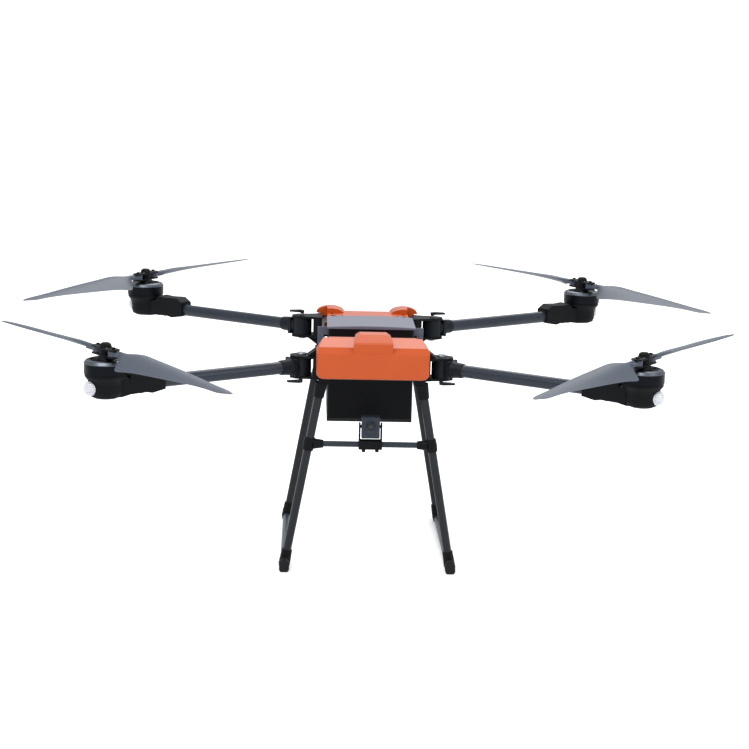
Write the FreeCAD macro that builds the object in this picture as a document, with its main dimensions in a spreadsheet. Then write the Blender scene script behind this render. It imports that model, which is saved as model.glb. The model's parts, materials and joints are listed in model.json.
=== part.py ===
import FreeCAD, Part
import math
import os
import Sketcher

# Agricultural spray drone: four folding arms on a flat twin-plate frame, a lift-out tank
# between an orange front cover and an orange rear cover, a slide-in battery behind the tank,
# and a splayed landing gear.  +Z is up, the nose points to -Y, the origin is on the ground
# under the middle of the frame.  All sizes are millimetres and degrees.

SIZES = {
    # motor layout and folding arms
    "motor_span_x": 1200, "motor_span_y": 960, "hinge_half_x": 168, "arm_sweep": 33.8,
    "mid_height": 514, "arm_step": 33, "arm_tube_od": 30, "arm_tube_wall": 1.5,
    "socket_fit": 0.05, "socket_end": 60, "socket_depth": 30, "knuckle_radius": 24,
    "knuckle_height": 42, "hinge_pin_radius": 6, "hinge_fit": 0.05, "face_gap": 0.4,
    "clevis_plate": 6, "clevis_radius": 27, "flange_half_y": 22, "flange_start": 23,
    "flange_end": 31, "lever_length": 34, "lever_width": 14,
    "lever_pin_radius": 2.5, "lever_drop": 8,
    # frame
    "frame_half_x": 118, "frame_half_y": 262, "frame_height": 69, "plate_thick": 3,
    "rail_thick": 6, "deck_hole_radius": 18, "deck_hole_x": 52, "rail_hole_radius": 14,
    "rail_hole_step": 35, "bay_front_y": 136, "bay_rear_y": 138, "bracket_half_y": 34,
    "bracket_depth": 22,
    # tank, lid and battery
    "tank_half_x": 104, "tank_front_y": 130, "tank_rear_y": 130, "tank_bottom": 347,
    "tank_shoulder": 540, "tank_neck_rear_y": 20, "tank_neck_top": 578, "tank_wall": 3,
    "lid_edge": 5, "lid_crown": 3, "lid_overhang": 3, "lid_pin_radius": 2.5,
    "lid_lug_half_width": 7, "lid_lug_x": 78, "flange_plate": 3, "battery_half_x": 92,
    "battery_length": 122, "battery_bottom": 434, "battery_top": 532, "tray_thick": 2,
    "handle_half_x": 46, "handle_bar": 12, "handle_rise": 30,
    # covers
    "cover_front_y": 298, "cover_half_x": 132.5, "cover_bottom": 486, "cover_shoulder": 546,
    "cover_roof": 575, "cover_top": 588, "cover_wall": 3, "cover_waist": 104,
    "cover_wide_depth": 62, "brow_half_x": 46, "cover_corner": 16, "cover_edge": 6,
    "lobe_half_x": 37, "lobe_rise": 18, "rear_roof": 564,
    # propulsion
    "bell_radius": 48.5, "bell_height": 31, "bell_above_tube": 31.8, "mount_radius": 38,
    "speed_box_top": 33,
    "shaft_radius": 6, "shaft_fit": 0.05, "blade_reach": 508, "blade_pivot": 34,
    "blade_plane_gap": 17.5, "blade_root_thick": 12, "blade_root_radius": 12,
    "blade_pin_radius": 4, "blade_chord": 78, "blade_droop": 6, "hub_plate": 3.5,
    "lamp_radius": 17,
    # landing gear
    "leg_top_x": 118.4, "leg_top_y": 243, "leg_top_z": 472, "skid_half_x": 201,
    "skid_foot_y": 215, "skid_height": 13.5, "skid_half_length": 244, "skid_od": 20,
    "leg_seat_x": 113, "leg_seat_size": 28, "leg_seat_height": 12, "tee_half_length": 14,
    "tee_stem_length": 36, "tee_wall": 3, "foot_length": 18, "foot_half_x": 12,
    "foot_flat": 8, "foot_rise": 18, "leg_socket_depth": 33,
    "leg_od": 20, "leg_wall": 1.5, "tube_fit": 0.05, "crossbar_height": 317,
    "crossbar_od": 14, "boss_length": 24, "boss_root_radius": 13, "boss_end_radius": 9.5,
    # camera, flight controller and pump
    "camera_width": 43, "camera_rise": 44, "camera_ear_x": 24, "camera_ear_thick": 4,
    "camera_pin_radius": 4, "controller_half_x": 40, "controller_height": 32,
    "controller_front_y": 250, "controller_rear_y": 160, "pump_half_x": 32, "pump_height": 46,
    "pump_axis_drop": 24, "pump_head_radius": 20, "pump_outlet_radius": 6,
}

doc = FreeCAD.newDocument("spray_drone")
sheet = doc.addObject("Spreadsheet::Sheet", "Dim")
for row, (alias, number) in enumerate(SIZES.items(), start=1):
    sheet.set("A%d" % row, alias)
    sheet.set("B%d" % row, str(number))
    sheet.setAlias("B%d" % row, alias)
doc.recompute()

PARTS = []
CORNERS = {"fl": (-1, -1), "fr": (1, -1), "rl": (-1, 1), "rr": (1, 1)}


def val(expression):
    """The number that an expression in the sheet's aliases gives now."""
    return float(sheet.evalExpression(str(expression)))


def label(obj, name):
    """Name a finished sub-part, so that it is checked and exported."""
    obj.Label = name
    PARTS.append(obj)
    return obj


def place(obj, base=("0", "0", "0"), axis=(0, 0, 1), angle="0"):
    """Bind an object's Placement to expressions."""
    obj.Placement = FreeCAD.Placement(
        FreeCAD.Vector(0, 0, 0), FreeCAD.Rotation(FreeCAD.Vector(*axis), 1)
    )
    for key, expression in zip("xyz", base):
        obj.setExpression("Placement.Base." + key, expression)
    obj.setExpression("Placement.Rotation.Angle", angle)
    return obj


def new_body(name):
    """An empty body."""
    return doc.addObject("PartDesign::Body", name + "_body")


def sketch_on(body, plane, offset="0"):
    """A sketch on one of the body's own origin planes, moved along the plane's normal."""
    sketch = body.newObject("Sketcher::SketchObject", body.Name + "_sketch")
    support = [item for item in body.Origin.OriginFeatures if item.Role == plane][0]
    sketch.AttachmentSupport = (support, [""])
    sketch.MapMode = "FlatFace"
    sketch.setExpression("AttachmentOffset.Base.z", offset)
    return sketch


def pin_point(sketch, geometry, end, point):
    """Fix a sketch point to two expressions."""
    for kind, expression in zip(("DistanceX", "DistanceY"), point):
        index = sketch.addConstraint(Sketcher.Constraint(kind, geometry, end, val(expression)))
        sketch.setExpression("Constraints[%d]" % index, expression)


def outline(sketch, points):
    """A closed outline of straight sides through points given as expressions."""
    spots = [FreeCAD.Vector(val(a), val(b), 0) for a, b in points]
    first = sketch.GeometryCount
    for here, there in zip(spots, spots[1:] + spots[:1]):
        sketch.addGeometry(Part.LineSegment(here, there))
    for step in range(len(spots)):
        following = first + (step + 1) % len(spots)
        sketch.addConstraint(Sketcher.Constraint("Coincident", first + step, 2, following, 1))
        pin_point(sketch, first + step, 1, points[step])
    return sketch


def circle(sketch, radius, centre=("0", "0")):
    """A circle whose radius and centre are expressions."""
    spot = FreeCAD.Vector(val(centre[0]), val(centre[1]), 0)
    index = sketch.addGeometry(Part.Circle(spot, FreeCAD.Vector(0, 0, 1), val(radius)))
    bound = sketch.addConstraint(Sketcher.Constraint("Radius", index, val(radius)))
    sketch.setExpression("Constraints[%d]" % bound, radius)
    pin_point(sketch, index, 3, centre)
    return sketch


def rectangle(x_low, x_high, y_low, y_high):
    """The four corners of a rectangle."""
    return [(x_low, y_low), (x_high, y_low), (x_high, y_high), (x_low, y_high)]


def pad(body, plane, low, high, *shapes):
    """Add material between two offsets along the plane's normal."""
    sketch = sketch_on(body, plane, low)
    for shape in shapes:
        shape(sketch)
    feature = body.newObject("PartDesign::Pad", body.Name + "_pad")
    feature.Profile = sketch
    feature.setExpression("Length", "(%s) - (%s)" % (high, low))
    return feature


def pocket(body, plane, low, high, *shapes):
    """Remove material between two offsets along the plane's normal."""
    sketch = sketch_on(body, plane, high)
    for shape in shapes:
        shape(sketch)
    doc.recompute()
    before = body.Shape.Volume
    feature = body.newObject("PartDesign::Pocket", body.Name + "_pocket")
    feature.Profile = sketch
    feature.setExpression("Length", "(%s) - (%s)" % (high, low))
    doc.recompute()
    if body.Shape.Volume > before - 0.01:
        raise RuntimeError("a pocket in %s removed nothing" % body.Name)
    return feature


def turned(body, plane, points, axis="V_Axis"):
    """Turn a half outline a full turn about one of the sketch's axes."""
    sketch = outline(sketch_on(body, plane), points)
    feature = body.newObject("PartDesign::Revolution", body.Name + "_turn")
    feature.Profile = sketch
    feature.ReferenceAxis = (sketch, [axis])
    feature.Angle = 360
    return feature


def poly(points):
    """Shape maker for pad and pocket: a straight-sided outline."""
    return lambda sketch: outline(sketch, points)


def disc(radius, centre=("0", "0")):
    """Shape maker for pad and pocket: a circle."""
    return lambda sketch: circle(sketch, radius, centre)


def fillet_edges(body, radius, wanted):
    """Round every edge of the body's last feature that the test picks."""
    doc.recompute()
    base = body.Tip
    names = [
        "Edge%d" % number
        for number, edge in enumerate(base.Shape.Edges, start=1)
        if wanted(edge)
    ]
    feature = body.newObject("PartDesign::Fillet", body.Name + "_fillet")
    feature.Base = (base, names)
    feature.setExpression("Radius", radius)
    doc.recompute()
    return feature


def along(edge, direction):
    """Whether a straight edge runs along a unit direction."""
    if edge.Curve.TypeId != "Part::GeomLine":
        return False
    return abs(abs(edge.tangentAt(edge.FirstParameter).dot(direction)) - 1) < 1e-6


X_AXIS = FreeCAD.Vector(1, 0, 0)
Y_AXIS = FreeCAD.Vector(0, 1, 0)
Z_AXIS = FreeCAD.Vector(0, 0, 1)

HINGE_Y = "(Dim.motor_span_y / 2 - (Dim.motor_span_x / 2 - Dim.hinge_half_x) * tan(Dim.arm_sweep))"
ARM_LENGTH = "((Dim.motor_span_x / 2 - Dim.hinge_half_x) / cos(Dim.arm_sweep))"
TUBE_RADIUS = "(Dim.arm_tube_od / 2)"
FRAME_TOP = "(Dim.mid_height + Dim.frame_height / 2)"
FRAME_BOTTOM = "(Dim.mid_height - Dim.frame_height / 2)"


def tube_height(corner):
    """Height of an arm tube's axis: the rear arms fold above the front ones."""
    sign = "+" if CORNERS[corner][1] > 0 else "-"
    return "(Dim.mid_height %s Dim.arm_step / 2)" % sign


def arm_place(obj, corner, outward="0"):
    """Stand a piece made about the arm's own X axis on its arm."""
    side, end = CORNERS[corner]
    turn = {
        "fl": "180 + Dim.arm_sweep", "fr": "-Dim.arm_sweep",
        "rl": "180 - Dim.arm_sweep", "rr": "Dim.arm_sweep",
    }[corner]
    base = (
        "%d * (Dim.hinge_half_x + (%s) * cos(Dim.arm_sweep))" % (side, outward),
        "%d * (%s + (%s) * sin(Dim.arm_sweep))" % (end, HINGE_Y, outward),
        tube_height(corner),
    )
    return place(obj, base, (0, 0, 1), turn)


# ---------------------------------------------------------------- arms


def arm_joint(corner):
    """Moulded knuckle on the fold pin with a flared socket for the arm tube."""
    body = new_body("arm_joint_" + corner)
    half = "(Dim.knuckle_height / 2)"
    pad(body, "XY_Plane", "-" + half, half, disc("Dim.knuckle_radius"))
    sketch = outline(
        sketch_on(body, "XZ_Plane"),
        [
            ("6", "0"), ("6", "17"), ("Dim.flange_start", "20"), ("Dim.flange_end", "20.6"),
            ("Dim.flange_end + 5", "19.6"), ("Dim.flange_end + 13", TUBE_RADIUS + " + 3.6"),
            ("Dim.socket_end - 3", TUBE_RADIUS + " + 2.8"),
            ("Dim.socket_end", TUBE_RADIUS + " + 2.2"), ("Dim.socket_end", "0"),
        ],
    )
    flare = body.newObject("PartDesign::Revolution", body.Name + "_flare")
    flare.Profile = sketch
    flare.ReferenceAxis = (sketch, ["H_Axis"])
    flare.Angle = 360
    # square flange that closes against the clevis when the arm is out
    pad(
        body, "YZ_Plane", "Dim.flange_start", "Dim.flange_end",
        poly(rectangle("-Dim.flange_half_y", "Dim.flange_half_y", "-" + half, half)),
    )
    pocket(
        body, "YZ_Plane", "Dim.socket_end - Dim.socket_depth", "Dim.socket_end + 1",
        disc(TUBE_RADIUS + " + Dim.socket_fit"),
    )
    pocket(
        body, "XY_Plane", "-%s - 1" % half, half + " + 1",
        disc("Dim.hinge_pin_radius + Dim.hinge_fit"),
    )
    return label(arm_place(body, corner), "arm_joint_" + corner)


def arm_tube(corner):
    """Wound carbon tube from the socket to the motor mount."""
    body = new_body("arm_tube_" + corner)
    start = "Dim.socket_end - Dim.socket_depth + 1"
    pad(
        body, "YZ_Plane", start, ARM_LENGTH + " + 8",
        disc(TUBE_RADIUS), disc(TUBE_RADIUS + " - Dim.arm_tube_wall"),
    )
    return label(arm_place(body, corner), "arm_tube_" + corner)


def motor_mount(corner):
    """Cup under the motor, clamped round the tube, with the speed controller's box on top."""
    body = new_body("motor_mount_" + corner)
    rim = "Dim.bell_above_tube - 1"
    wide = "Dim.bell_radius - 1.5"
    # the speed controller's box, which the boom carries on its back
    box = "Dim.speed_box_top"
    pad(
        body, "XZ_Plane", "-23", "23",
        poly([("-138", "15"), ("-50", "15"), ("-50", box + " - 8"), ("-60", box),
              ("-84", box + " - 2"), ("-122", box), ("-138", box + " - 10")]),
    )
    fillet_edges(body, "6", lambda edge: abs(edge.CenterOfMass.y) > 22.9
                 and edge.BoundBox.ZMin > val(box) - 10.1 and edge.BoundBox.ZMax > val(box) - 3)
    # the clamp boom that runs inboard under and round the tube
    pad(
        body, "XZ_Plane", "-21", "21",
        poly([("-128", "-17"), ("-118", "-19"), ("-106", "-21"), ("-92", "-18"), ("-52", "-19"),
              ("-30", "-23"), ("-20", "-23"), ("-20", "19"), ("-140", "19"), ("-140", "-15")]),
    )
    turned(
        body, "XZ_Plane",
        [
            ("0", "-24"), ("26", "-24"), ("Dim.mount_radius - 4", "-20"),
            ("Dim.mount_radius - 1", "-12"), ("Dim.mount_radius", "10"),
            ("Dim.mount_radius + 3", "17"), (wide, "25"), (wide, rim), ("0", rim),
        ],
    )
    pocket(
        body, "YZ_Plane", "-150", "9", disc(TUBE_RADIUS + " + Dim.socket_fit"),
    )
    pocket(
        body, "XY_Plane", "16", "Dim.bell_above_tube",
        disc("Dim.shaft_radius + Dim.shaft_fit"),
    )
    return label(arm_place(body, corner, ARM_LENGTH), "motor_mount_" + corner)


def lamp(corner):
    """Domed navigation lamp on the outer end of the mount."""
    body = new_body("lamp_" + corner)
    turned(
        body, "XZ_Plane",
        [
            ("30", "0"), ("30", "Dim.lamp_radius"), ("40", "Dim.lamp_radius"),
            ("46", "Dim.lamp_radius - 2"), ("50", "Dim.lamp_radius - 7"), ("52", "0"),
        ],
        "H_Axis",
    )
    side = new_body("lamp_seat_" + corner)
    gap = "Dim.face_gap"
    wide = "Dim.bell_radius - 1.5 + " + gap
    turned(
        side, "XZ_Plane",
        [
            ("0", "-25"), ("26", "-25"), ("Dim.mount_radius - 3.5", "-20"),
            ("Dim.mount_radius - 1 + " + gap, "-12"), ("Dim.mount_radius + " + gap, "9.8"),
            ("Dim.mount_radius + 3 + " + gap, "16.6"), (wide, "24.6"), (wide, "30"), ("0", "30"),
        ],
    )
    cut = doc.addObject("Part::Cut", "lamp_cut_" + corner)
    cut.Base = body
    cut.Tool = side
    return label(arm_place(cut, corner, ARM_LENGTH), "lamp_" + corner)


def motor_bell(corner):
    """Outrunner bell: a turned can with a vented crown and its shaft."""
    body = new_body("motor_bell_" + corner)
    low = "Dim.bell_above_tube"
    top = "(Dim.bell_above_tube + Dim.bell_height)"
    turned(
        body, "XZ_Plane",
        [
            ("0", "17"), ("Dim.shaft_radius", "17"), ("Dim.shaft_radius", low + " + 2"),
            ("Dim.bell_radius - 3", low + " + 2"), ("Dim.bell_radius - 3", low),
            ("Dim.bell_radius", low), ("Dim.bell_radius", top + " - 7"),
            ("Dim.bell_radius - 4", top + " - 2"), ("Dim.bell_radius - 10", top), ("0", top),
        ],
    )
    vent = pocket(
        body, "XY_Plane", top + " - 7", top + " + 1",
        poly([("18", "-2.5"), ("Dim.bell_radius - 13", "-5.5"), ("Dim.bell_radius - 13", "5.5"),
              ("18", "2.5")]),
    )
    pattern = body.newObject("PartDesign::PolarPattern", body.Name + "_vents")
    pattern.Originals = [vent]
    pattern.Axis = (vent.Profile[0], ["N_Axis"])
    pattern.Angle = 360
    pattern.Occurrences = 9
    body.Tip = pattern
    return label(arm_place(body, corner, ARM_LENGTH), "motor_bell_" + corner)


HUB_LOW = "(Dim.bell_above_tube + Dim.bell_height)"
BLADE_Z = "(Dim.bell_above_tube + Dim.bell_height + Dim.blade_plane_gap)"
REST_ANGLE = {"fl": -54.0, "fr": 234.0, "rl": 238.5, "rr": -58.5}


def rotor_place(obj, corner, extra="0"):
    """Stand a piece made about the rotor axis on its motor, at the propeller's rest angle."""
    side, end = CORNERS[corner]
    base = (
        "%d * Dim.motor_span_x / 2" % side,
        "%d * Dim.motor_span_y / 2" % end,
        tube_height(corner),
    )
    return place(obj, base, (0, 0, 1), "%s + %s" % (REST_ANGLE[corner], extra))


def prop_hub(corner):
    """Two clamp plates on a spacer, with the pins that the folding blades swing on."""
    body = new_body("prop_hub_" + corner)
    low = BLADE_Z + " - Dim.blade_root_thick / 2 - Dim.face_gap / 2"
    high = BLADE_Z + " + Dim.blade_root_thick / 2 + Dim.face_gap / 2"
    reach = "Dim.blade_pivot"
    nose = "Dim.blade_root_radius + 1"
    turned(
        body, "XZ_Plane",
        [("0", HUB_LOW), ("22", HUB_LOW), ("19", HUB_LOW + " + 5"), ("14", low + " - 2"),
         ("14", high + " + Dim.hub_plate"), ("12", high + " + Dim.hub_plate + 7"),
         ("8", high + " + Dim.hub_plate + 10"), ("0", high + " + Dim.hub_plate + 10")],
    )
    for start in (low + " - Dim.hub_plate", high):
        pad(
            body, "XY_Plane", start, "%s + Dim.hub_plate" % start,
            poly([("-%s - 6" % reach, "-(%s)" % nose), (reach + " + 6", "-(%s)" % nose),
                  (reach + " + 13", "-6"), (reach + " + 13", "6"),
                  (reach + " + 6", nose), ("-%s - 6" % reach, nose),
                  ("-%s - 13" % reach, "6"), ("-%s - 13" % reach, "-6")]),
        )
    for sign in ("", "-"):
        pad(
            body, "XY_Plane", low + " - Dim.hub_plate - 1.5", high + " + Dim.hub_plate + 4",
            disc("Dim.blade_pin_radius", (sign + reach, "0")),
        )
    return label(rotor_place(body, corner), "prop_hub_" + corner)


def blade_section(reach, lead, chord, thick, pitch, lift, hand):
    """One closed aerofoil section at a distance from the pivot, in the blade's own frame."""
    upper = ((0.0, 0.0), (0.14, 0.62), (0.36, 0.9), (0.68, 0.6), (1.0, 0.0))
    lower = ((0.0, 0.0), (0.2, -0.3), (0.5, -0.25), (1.0, 0.0))
    turn = math.radians(pitch)

    def spot(across, rise):
        along_chord = lead - across * chord
        up = rise * thick
        y = along_chord * math.cos(turn) - up * math.sin(turn)
        z = along_chord * math.sin(turn) + up * math.cos(turn)
        return FreeCAD.Vector(reach, hand * y, z + lift)

    over = Part.BSplineCurve()
    over.interpolate([spot(*pair) for pair in upper])
    under = Part.BSplineCurve()
    under.interpolate([spot(*pair) for pair in lower])
    return Part.Wire([over.toShape(), under.toShape()])


def blade(corner, mark, hand):
    """Twisted folding blade: pinned root boss, cut-in shoulder, wide chord and narrow tip."""
    tip = val("Dim.blade_reach - Dim.blade_pivot")
    chord = val("Dim.blade_chord")
    droop = val("Dim.blade_droop")
    stations = (
        # share of reach, leading edge, chord share, thickness share, pitch
        (0.035, 9.0, 0.22, 0.50, 6), (0.085, 10.0, 0.27, 0.42, 14), (0.125, 15.0, 0.52, 0.22, 21),
        (0.175, 24.0, 0.93, 0.13, 22), (0.25, 26.5, 1.00, 0.11, 19), (0.45, 24.0, 0.83, 0.095, 13),
        (0.68, 18.0, 0.60, 0.09, 8), (0.88, 11.0, 0.39, 0.09, 5.5), (0.965, 7.0, 0.27, 0.09, 5),
        (1.0, 2.0, 0.10, 0.12, 5),
    )
    wires = []
    for share, lead, width, thick, pitch in stations:
        size = width * chord
        lift = -droop * share * share
        wires.append(
            blade_section(share * tip, lead, size, thick * size, pitch, lift, hand)
        )
    skin = Part.makeLoft(wires, True, False)
    thickness = val("Dim.blade_root_thick")
    boss = Part.makeCylinder(
        val("Dim.blade_root_radius"), thickness, FreeCAD.Vector(0, 0, -thickness / 2)
    )
    neck = Part.makeBox(
        wires[1].BoundBox.XMax, 17, thickness * 0.62,
        FreeCAD.Vector(0, -8.5, -thickness * 0.31),
    )
    pin = Part.makeCylinder(
        val("Dim.blade_pin_radius + Dim.hinge_fit"), thickness + 4,
        FreeCAD.Vector(0, 0, -thickness / 2 - 2),
    )
    piece = doc.addObject("Part::Feature", "blade_%s_%s" % (corner, mark))
    solid = boss.fuse([neck, skin]).removeSplitter().cut(pin)
    piece.Shape = solid.Solids[0] if len(solid.Solids) == 1 else solid
    half_turn = 0 if mark == "a" else 180
    angle = math.radians(REST_ANGLE[corner] + half_turn)
    side, end = CORNERS[corner]
    pivot = val("Dim.blade_pivot")
    piece.Placement = FreeCAD.Placement(
        FreeCAD.Vector(
            side * val("Dim.motor_span_x / 2") + pivot * math.cos(angle),
            end * val("Dim.motor_span_y / 2") + pivot * math.sin(angle),
            val(tube_height(corner)) + val(BLADE_Z),
        ),
        FreeCAD.Rotation(Z_AXIS, REST_ANGLE[corner] + half_turn),
    )
    return label(piece, "blade_%s_%s" % (corner, mark))


for name in CORNERS:
    arm_joint(name)
    arm_tube(name)
    motor_mount(name)
    lamp(name)
    motor_bell(name)
    prop_hub(name)
    # diagonal pairs turn the same way: front left and rear right are counter-clockwise
    spin_hand = 1 if name in ("fl", "rr") else -1
    blade(name, "a", spin_hand)
    blade(name, "b", spin_hand)

# ---------------------------------------------------------------- fold brackets and levers

BRACKET_INNER = "Dim.frame_half_x"
BRACKET_OUTER = "(Dim.frame_half_x + Dim.bracket_depth)"
SLOT_HALF = "(Dim.knuckle_height / 2 + Dim.face_gap)"
FRONT_TUBE = "(Dim.mid_height - Dim.arm_step / 2)"


def bracket():
    """Front right fold bracket: clevis plates round the knuckle and a flared gusset above."""
    body = new_body("arm_bracket")
    low = "(%s - %s - Dim.clevis_plate)" % (FRONT_TUBE, SLOT_HALF)
    nose = "Dim.clevis_radius"
    pad(
        body, "XY_Plane", low, FRAME_TOP,
        poly([
            (BRACKET_INNER, "-(%s) - Dim.bracket_half_y" % HINGE_Y),
            (BRACKET_INNER + " + 8", "-(%s) - Dim.bracket_half_y" % HINGE_Y),
            (BRACKET_OUTER + " + 6", "-(%s) - %s" % (HINGE_Y, nose)),
            ("Dim.hinge_half_x + 12", "-(%s) - %s + 3" % (HINGE_Y, nose)),
            ("Dim.hinge_half_x + %s" % nose, "-(%s) - 10" % HINGE_Y),
            ("Dim.hinge_half_x + %s" % nose, "-(%s) + 10" % HINGE_Y),
            ("Dim.hinge_half_x + 12", "-(%s) + %s - 3" % (HINGE_Y, nose)),
            (BRACKET_OUTER + " + 6", "-(%s) + %s" % (HINGE_Y, nose)),
            (BRACKET_INNER + " + 8", "-(%s) + Dim.bracket_half_y" % HINGE_Y),
            (BRACKET_INNER, "-(%s) + Dim.bracket_half_y" % HINGE_Y),
        ]),
    )
    slot_low = "(%s - %s)" % (FRONT_TUBE, SLOT_HALF)
    slot_high = "(%s + %s)" % (FRONT_TUBE, SLOT_HALF)
    pocket(
        body, "XY_Plane", slot_low, slot_high,
        poly(rectangle(BRACKET_OUTER, "Dim.hinge_half_x + 60", "-(%s) - 60" % HINGE_Y,
                       "-(%s) + 60" % HINGE_Y)),
    )
    # the gusset falls from the frame's top plate to the upper clevis plate
    pocket(
        body, "XZ_Plane", HINGE_Y + " - 70", HINGE_Y + " + 70",
        poly([
            (BRACKET_INNER + " + 4", FRAME_TOP + " + 1"),
            ("Dim.hinge_half_x - 14", slot_high + " + Dim.clevis_plate"),
            ("Dim.hinge_half_x + 60", slot_high + " + Dim.clevis_plate"),
            ("Dim.hinge_half_x + 60", FRAME_TOP + " + 1"),
        ]),
    )
    # a hollow in each flank leaves a web, as on a die casting
    for sign in ("-", "+"):
        pocket(
            body, "XZ_Plane",
            HINGE_Y + (" + Dim.bracket_half_y - 12" if sign == "+" else " - Dim.bracket_half_y - 1"),
            HINGE_Y + (" + Dim.bracket_half_y + 1" if sign == "+" else " - Dim.bracket_half_y + 12"),
            poly(rectangle(BRACKET_INNER + " + 5", BRACKET_OUTER + " + 40",
                           slot_high + " + Dim.clevis_plate", FRAME_TOP + " + 2")),
        )
    pocket(
        body, "XY_Plane", low + " - 1", FRAME_TOP + " + 1",
        disc("Dim.hinge_pin_radius + Dim.face_gap / 2",
             ("Dim.hinge_half_x", "-(%s)" % HINGE_Y)),
    )
    return body


def four_ways(source, kinds=("fl", "fr", "rl", "rr")):
    """The front right piece, its mirror image, and both turned over for the rear arms."""
    mirror = doc.addObject("Part::Mirroring", source.Name + "_mirror")
    mirror.Source = source
    mirror.Normal = (1, 0, 0)
    turned_over = {"fr": source, "fl": mirror}
    for corner, front in (("rr", source), ("rl", mirror)):
        link = doc.addObject("Part::Compound", source.Name + "_" + corner)
        link.Links = [front]
        place(link, ("0", "0", "2 * Dim.mid_height"), (1, 0, 0), "180")
        turned_over[corner] = link
    return [turned_over[kind] for kind in kinds]


def group(name, members):
    """Several separate solids under one name."""
    piece = doc.addObject("Part::Compound", name + "_group")
    piece.Links = members
    return label(piece, name)


group("arm_brackets", four_ways(bracket()))

PIN_LOW = "(%s - %s - Dim.clevis_plate)" % (FRONT_TUBE, SLOT_HALF)


def hinge_pin():
    """Fold pin with a round head above the upper clevis plate and an eye for the lever."""
    body = new_body("hinge_pin")
    top = "(%s + %s + Dim.clevis_plate)" % (FRONT_TUBE, SLOT_HALF)
    turned(
        body, "XZ_Plane",
        [
            ("0", PIN_LOW + " - 3"), ("Dim.hinge_pin_radius", PIN_LOW + " - 3"),
            ("Dim.hinge_pin_radius", top + " + 0.1"), ("Dim.hinge_pin_radius + 5", top + " + 0.1"),
            ("Dim.hinge_pin_radius + 5", top + " + 3"), ("Dim.hinge_pin_radius + 2", top + " + 6"),
            ("0", top + " + 6"),
        ],
    )
    return place(body, ("Dim.hinge_half_x", "-(%s)" % HINGE_Y, "0"))


group("hinge_pins", four_ways(hinge_pin()))


def fold_lever():
    """Cam lever that clamps the fold: a small cam on a cross pin, with a flat tab over the arm."""
    body = new_body("fold_lever")
    reach = "Dim.lever_length"
    pad(
        body, "XZ_Plane", "-Dim.lever_width / 2", "Dim.lever_width / 2",
        poly([("-4", "-4.5"), ("5", "-6"), (reach + " - 3", "-5"), (reach, "-3.5"), (reach, "-1"),
              ("7", "0.5"), ("3", "3"), ("-3", "3"), ("-4.4", "0")]),
    )
    # the cross pin that the lever turns on
    pad(body, "XZ_Plane", "-Dim.lever_width / 2 - 2", "Dim.lever_width / 2 + 2",
        disc("Dim.lever_pin_radius"))
    place(body, ("Dim.hinge_half_x", "-(%s)" % HINGE_Y, PIN_LOW + " - Dim.lever_drop"))
    return body


for lever, corner_name in zip(four_ways(fold_lever()), ("fl", "fr", "rl", "rr")):
    label(lever, "fold_lever_" + corner_name)

# ---------------------------------------------------------------- frame


def frame_plates():
    """Front deck plates and the rear top plate, cut from carbon sheet."""
    plates = []
    for mark, low, high, start, end in (
        ("bottom_front", FRAME_BOTTOM, FRAME_BOTTOM + " + Dim.plate_thick",
         "-Dim.frame_half_y", "-Dim.bay_front_y"),
        ("top_front", FRAME_TOP + " - Dim.plate_thick", FRAME_TOP,
         "-Dim.frame_half_y", "-Dim.bay_front_y"),
        ("top_rear", FRAME_TOP + " - Dim.plate_thick", FRAME_TOP,
         "Dim.bay_rear_y", "Dim.frame_half_y"),
    ):
        body = new_body("plate_" + mark)
        inner = "(Dim.frame_half_x - Dim.rail_thick - 0.1)"
        pad(body, "XY_Plane", low, high,
            poly(rectangle("-" + inner, inner, start, end)),
            *[disc("Dim.deck_hole_radius", ("%d * Dim.deck_hole_x" % side, "(%s + %s) / 2" % (start, end)))
              for side in (-1, 1)])
        plates.append(body)
    return plates


group("frame_plates", frame_plates())


def side_rail():
    """Right side rail, a lightened aluminium bar that carries brackets and tank."""
    body = new_body("side_rail")
    pad(
        body, "YZ_Plane", "Dim.frame_half_x - Dim.rail_thick", "Dim.frame_half_x - 0.05",
        poly(rectangle("-Dim.frame_half_y", "Dim.frame_half_y", FRAME_BOTTOM,
                       FRAME_TOP)),
        *[disc("Dim.rail_hole_radius", ("%d * Dim.rail_hole_step" % spot, "Dim.mid_height"))
          for spot in range(-3, 4)],
    )
    return body


right_rail = side_rail()
left_rail = doc.addObject("Part::Mirroring", "side_rail_mirror")
left_rail.Source = right_rail
left_rail.Normal = (1, 0, 0)
group("side_rails", [right_rail, left_rail])

# ---------------------------------------------------------------- tank and lid

tank = new_body("tank")
WALL = "Dim.tank_wall"


def tank_profile(inset, top):
    """Side view of the tank: a deep box with a raised filling neck at the front."""
    return [
        ("-Dim.tank_front_y + " + inset, "Dim.tank_bottom + 10 + " + inset),
        ("-Dim.tank_front_y + 10 + " + inset, "Dim.tank_bottom + " + inset),
        ("Dim.tank_rear_y - 30 - " + inset, "Dim.tank_bottom + " + inset),
        ("Dim.tank_rear_y - " + inset, "Dim.tank_bottom + 30 + " + inset),
        ("Dim.tank_rear_y - " + inset, "Dim.tank_shoulder - " + inset),
        ("Dim.tank_neck_rear_y - " + inset, "Dim.tank_shoulder - " + inset),
        ("Dim.tank_neck_rear_y - " + inset, top),
        ("-Dim.tank_front_y + " + inset, top),
    ]


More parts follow.
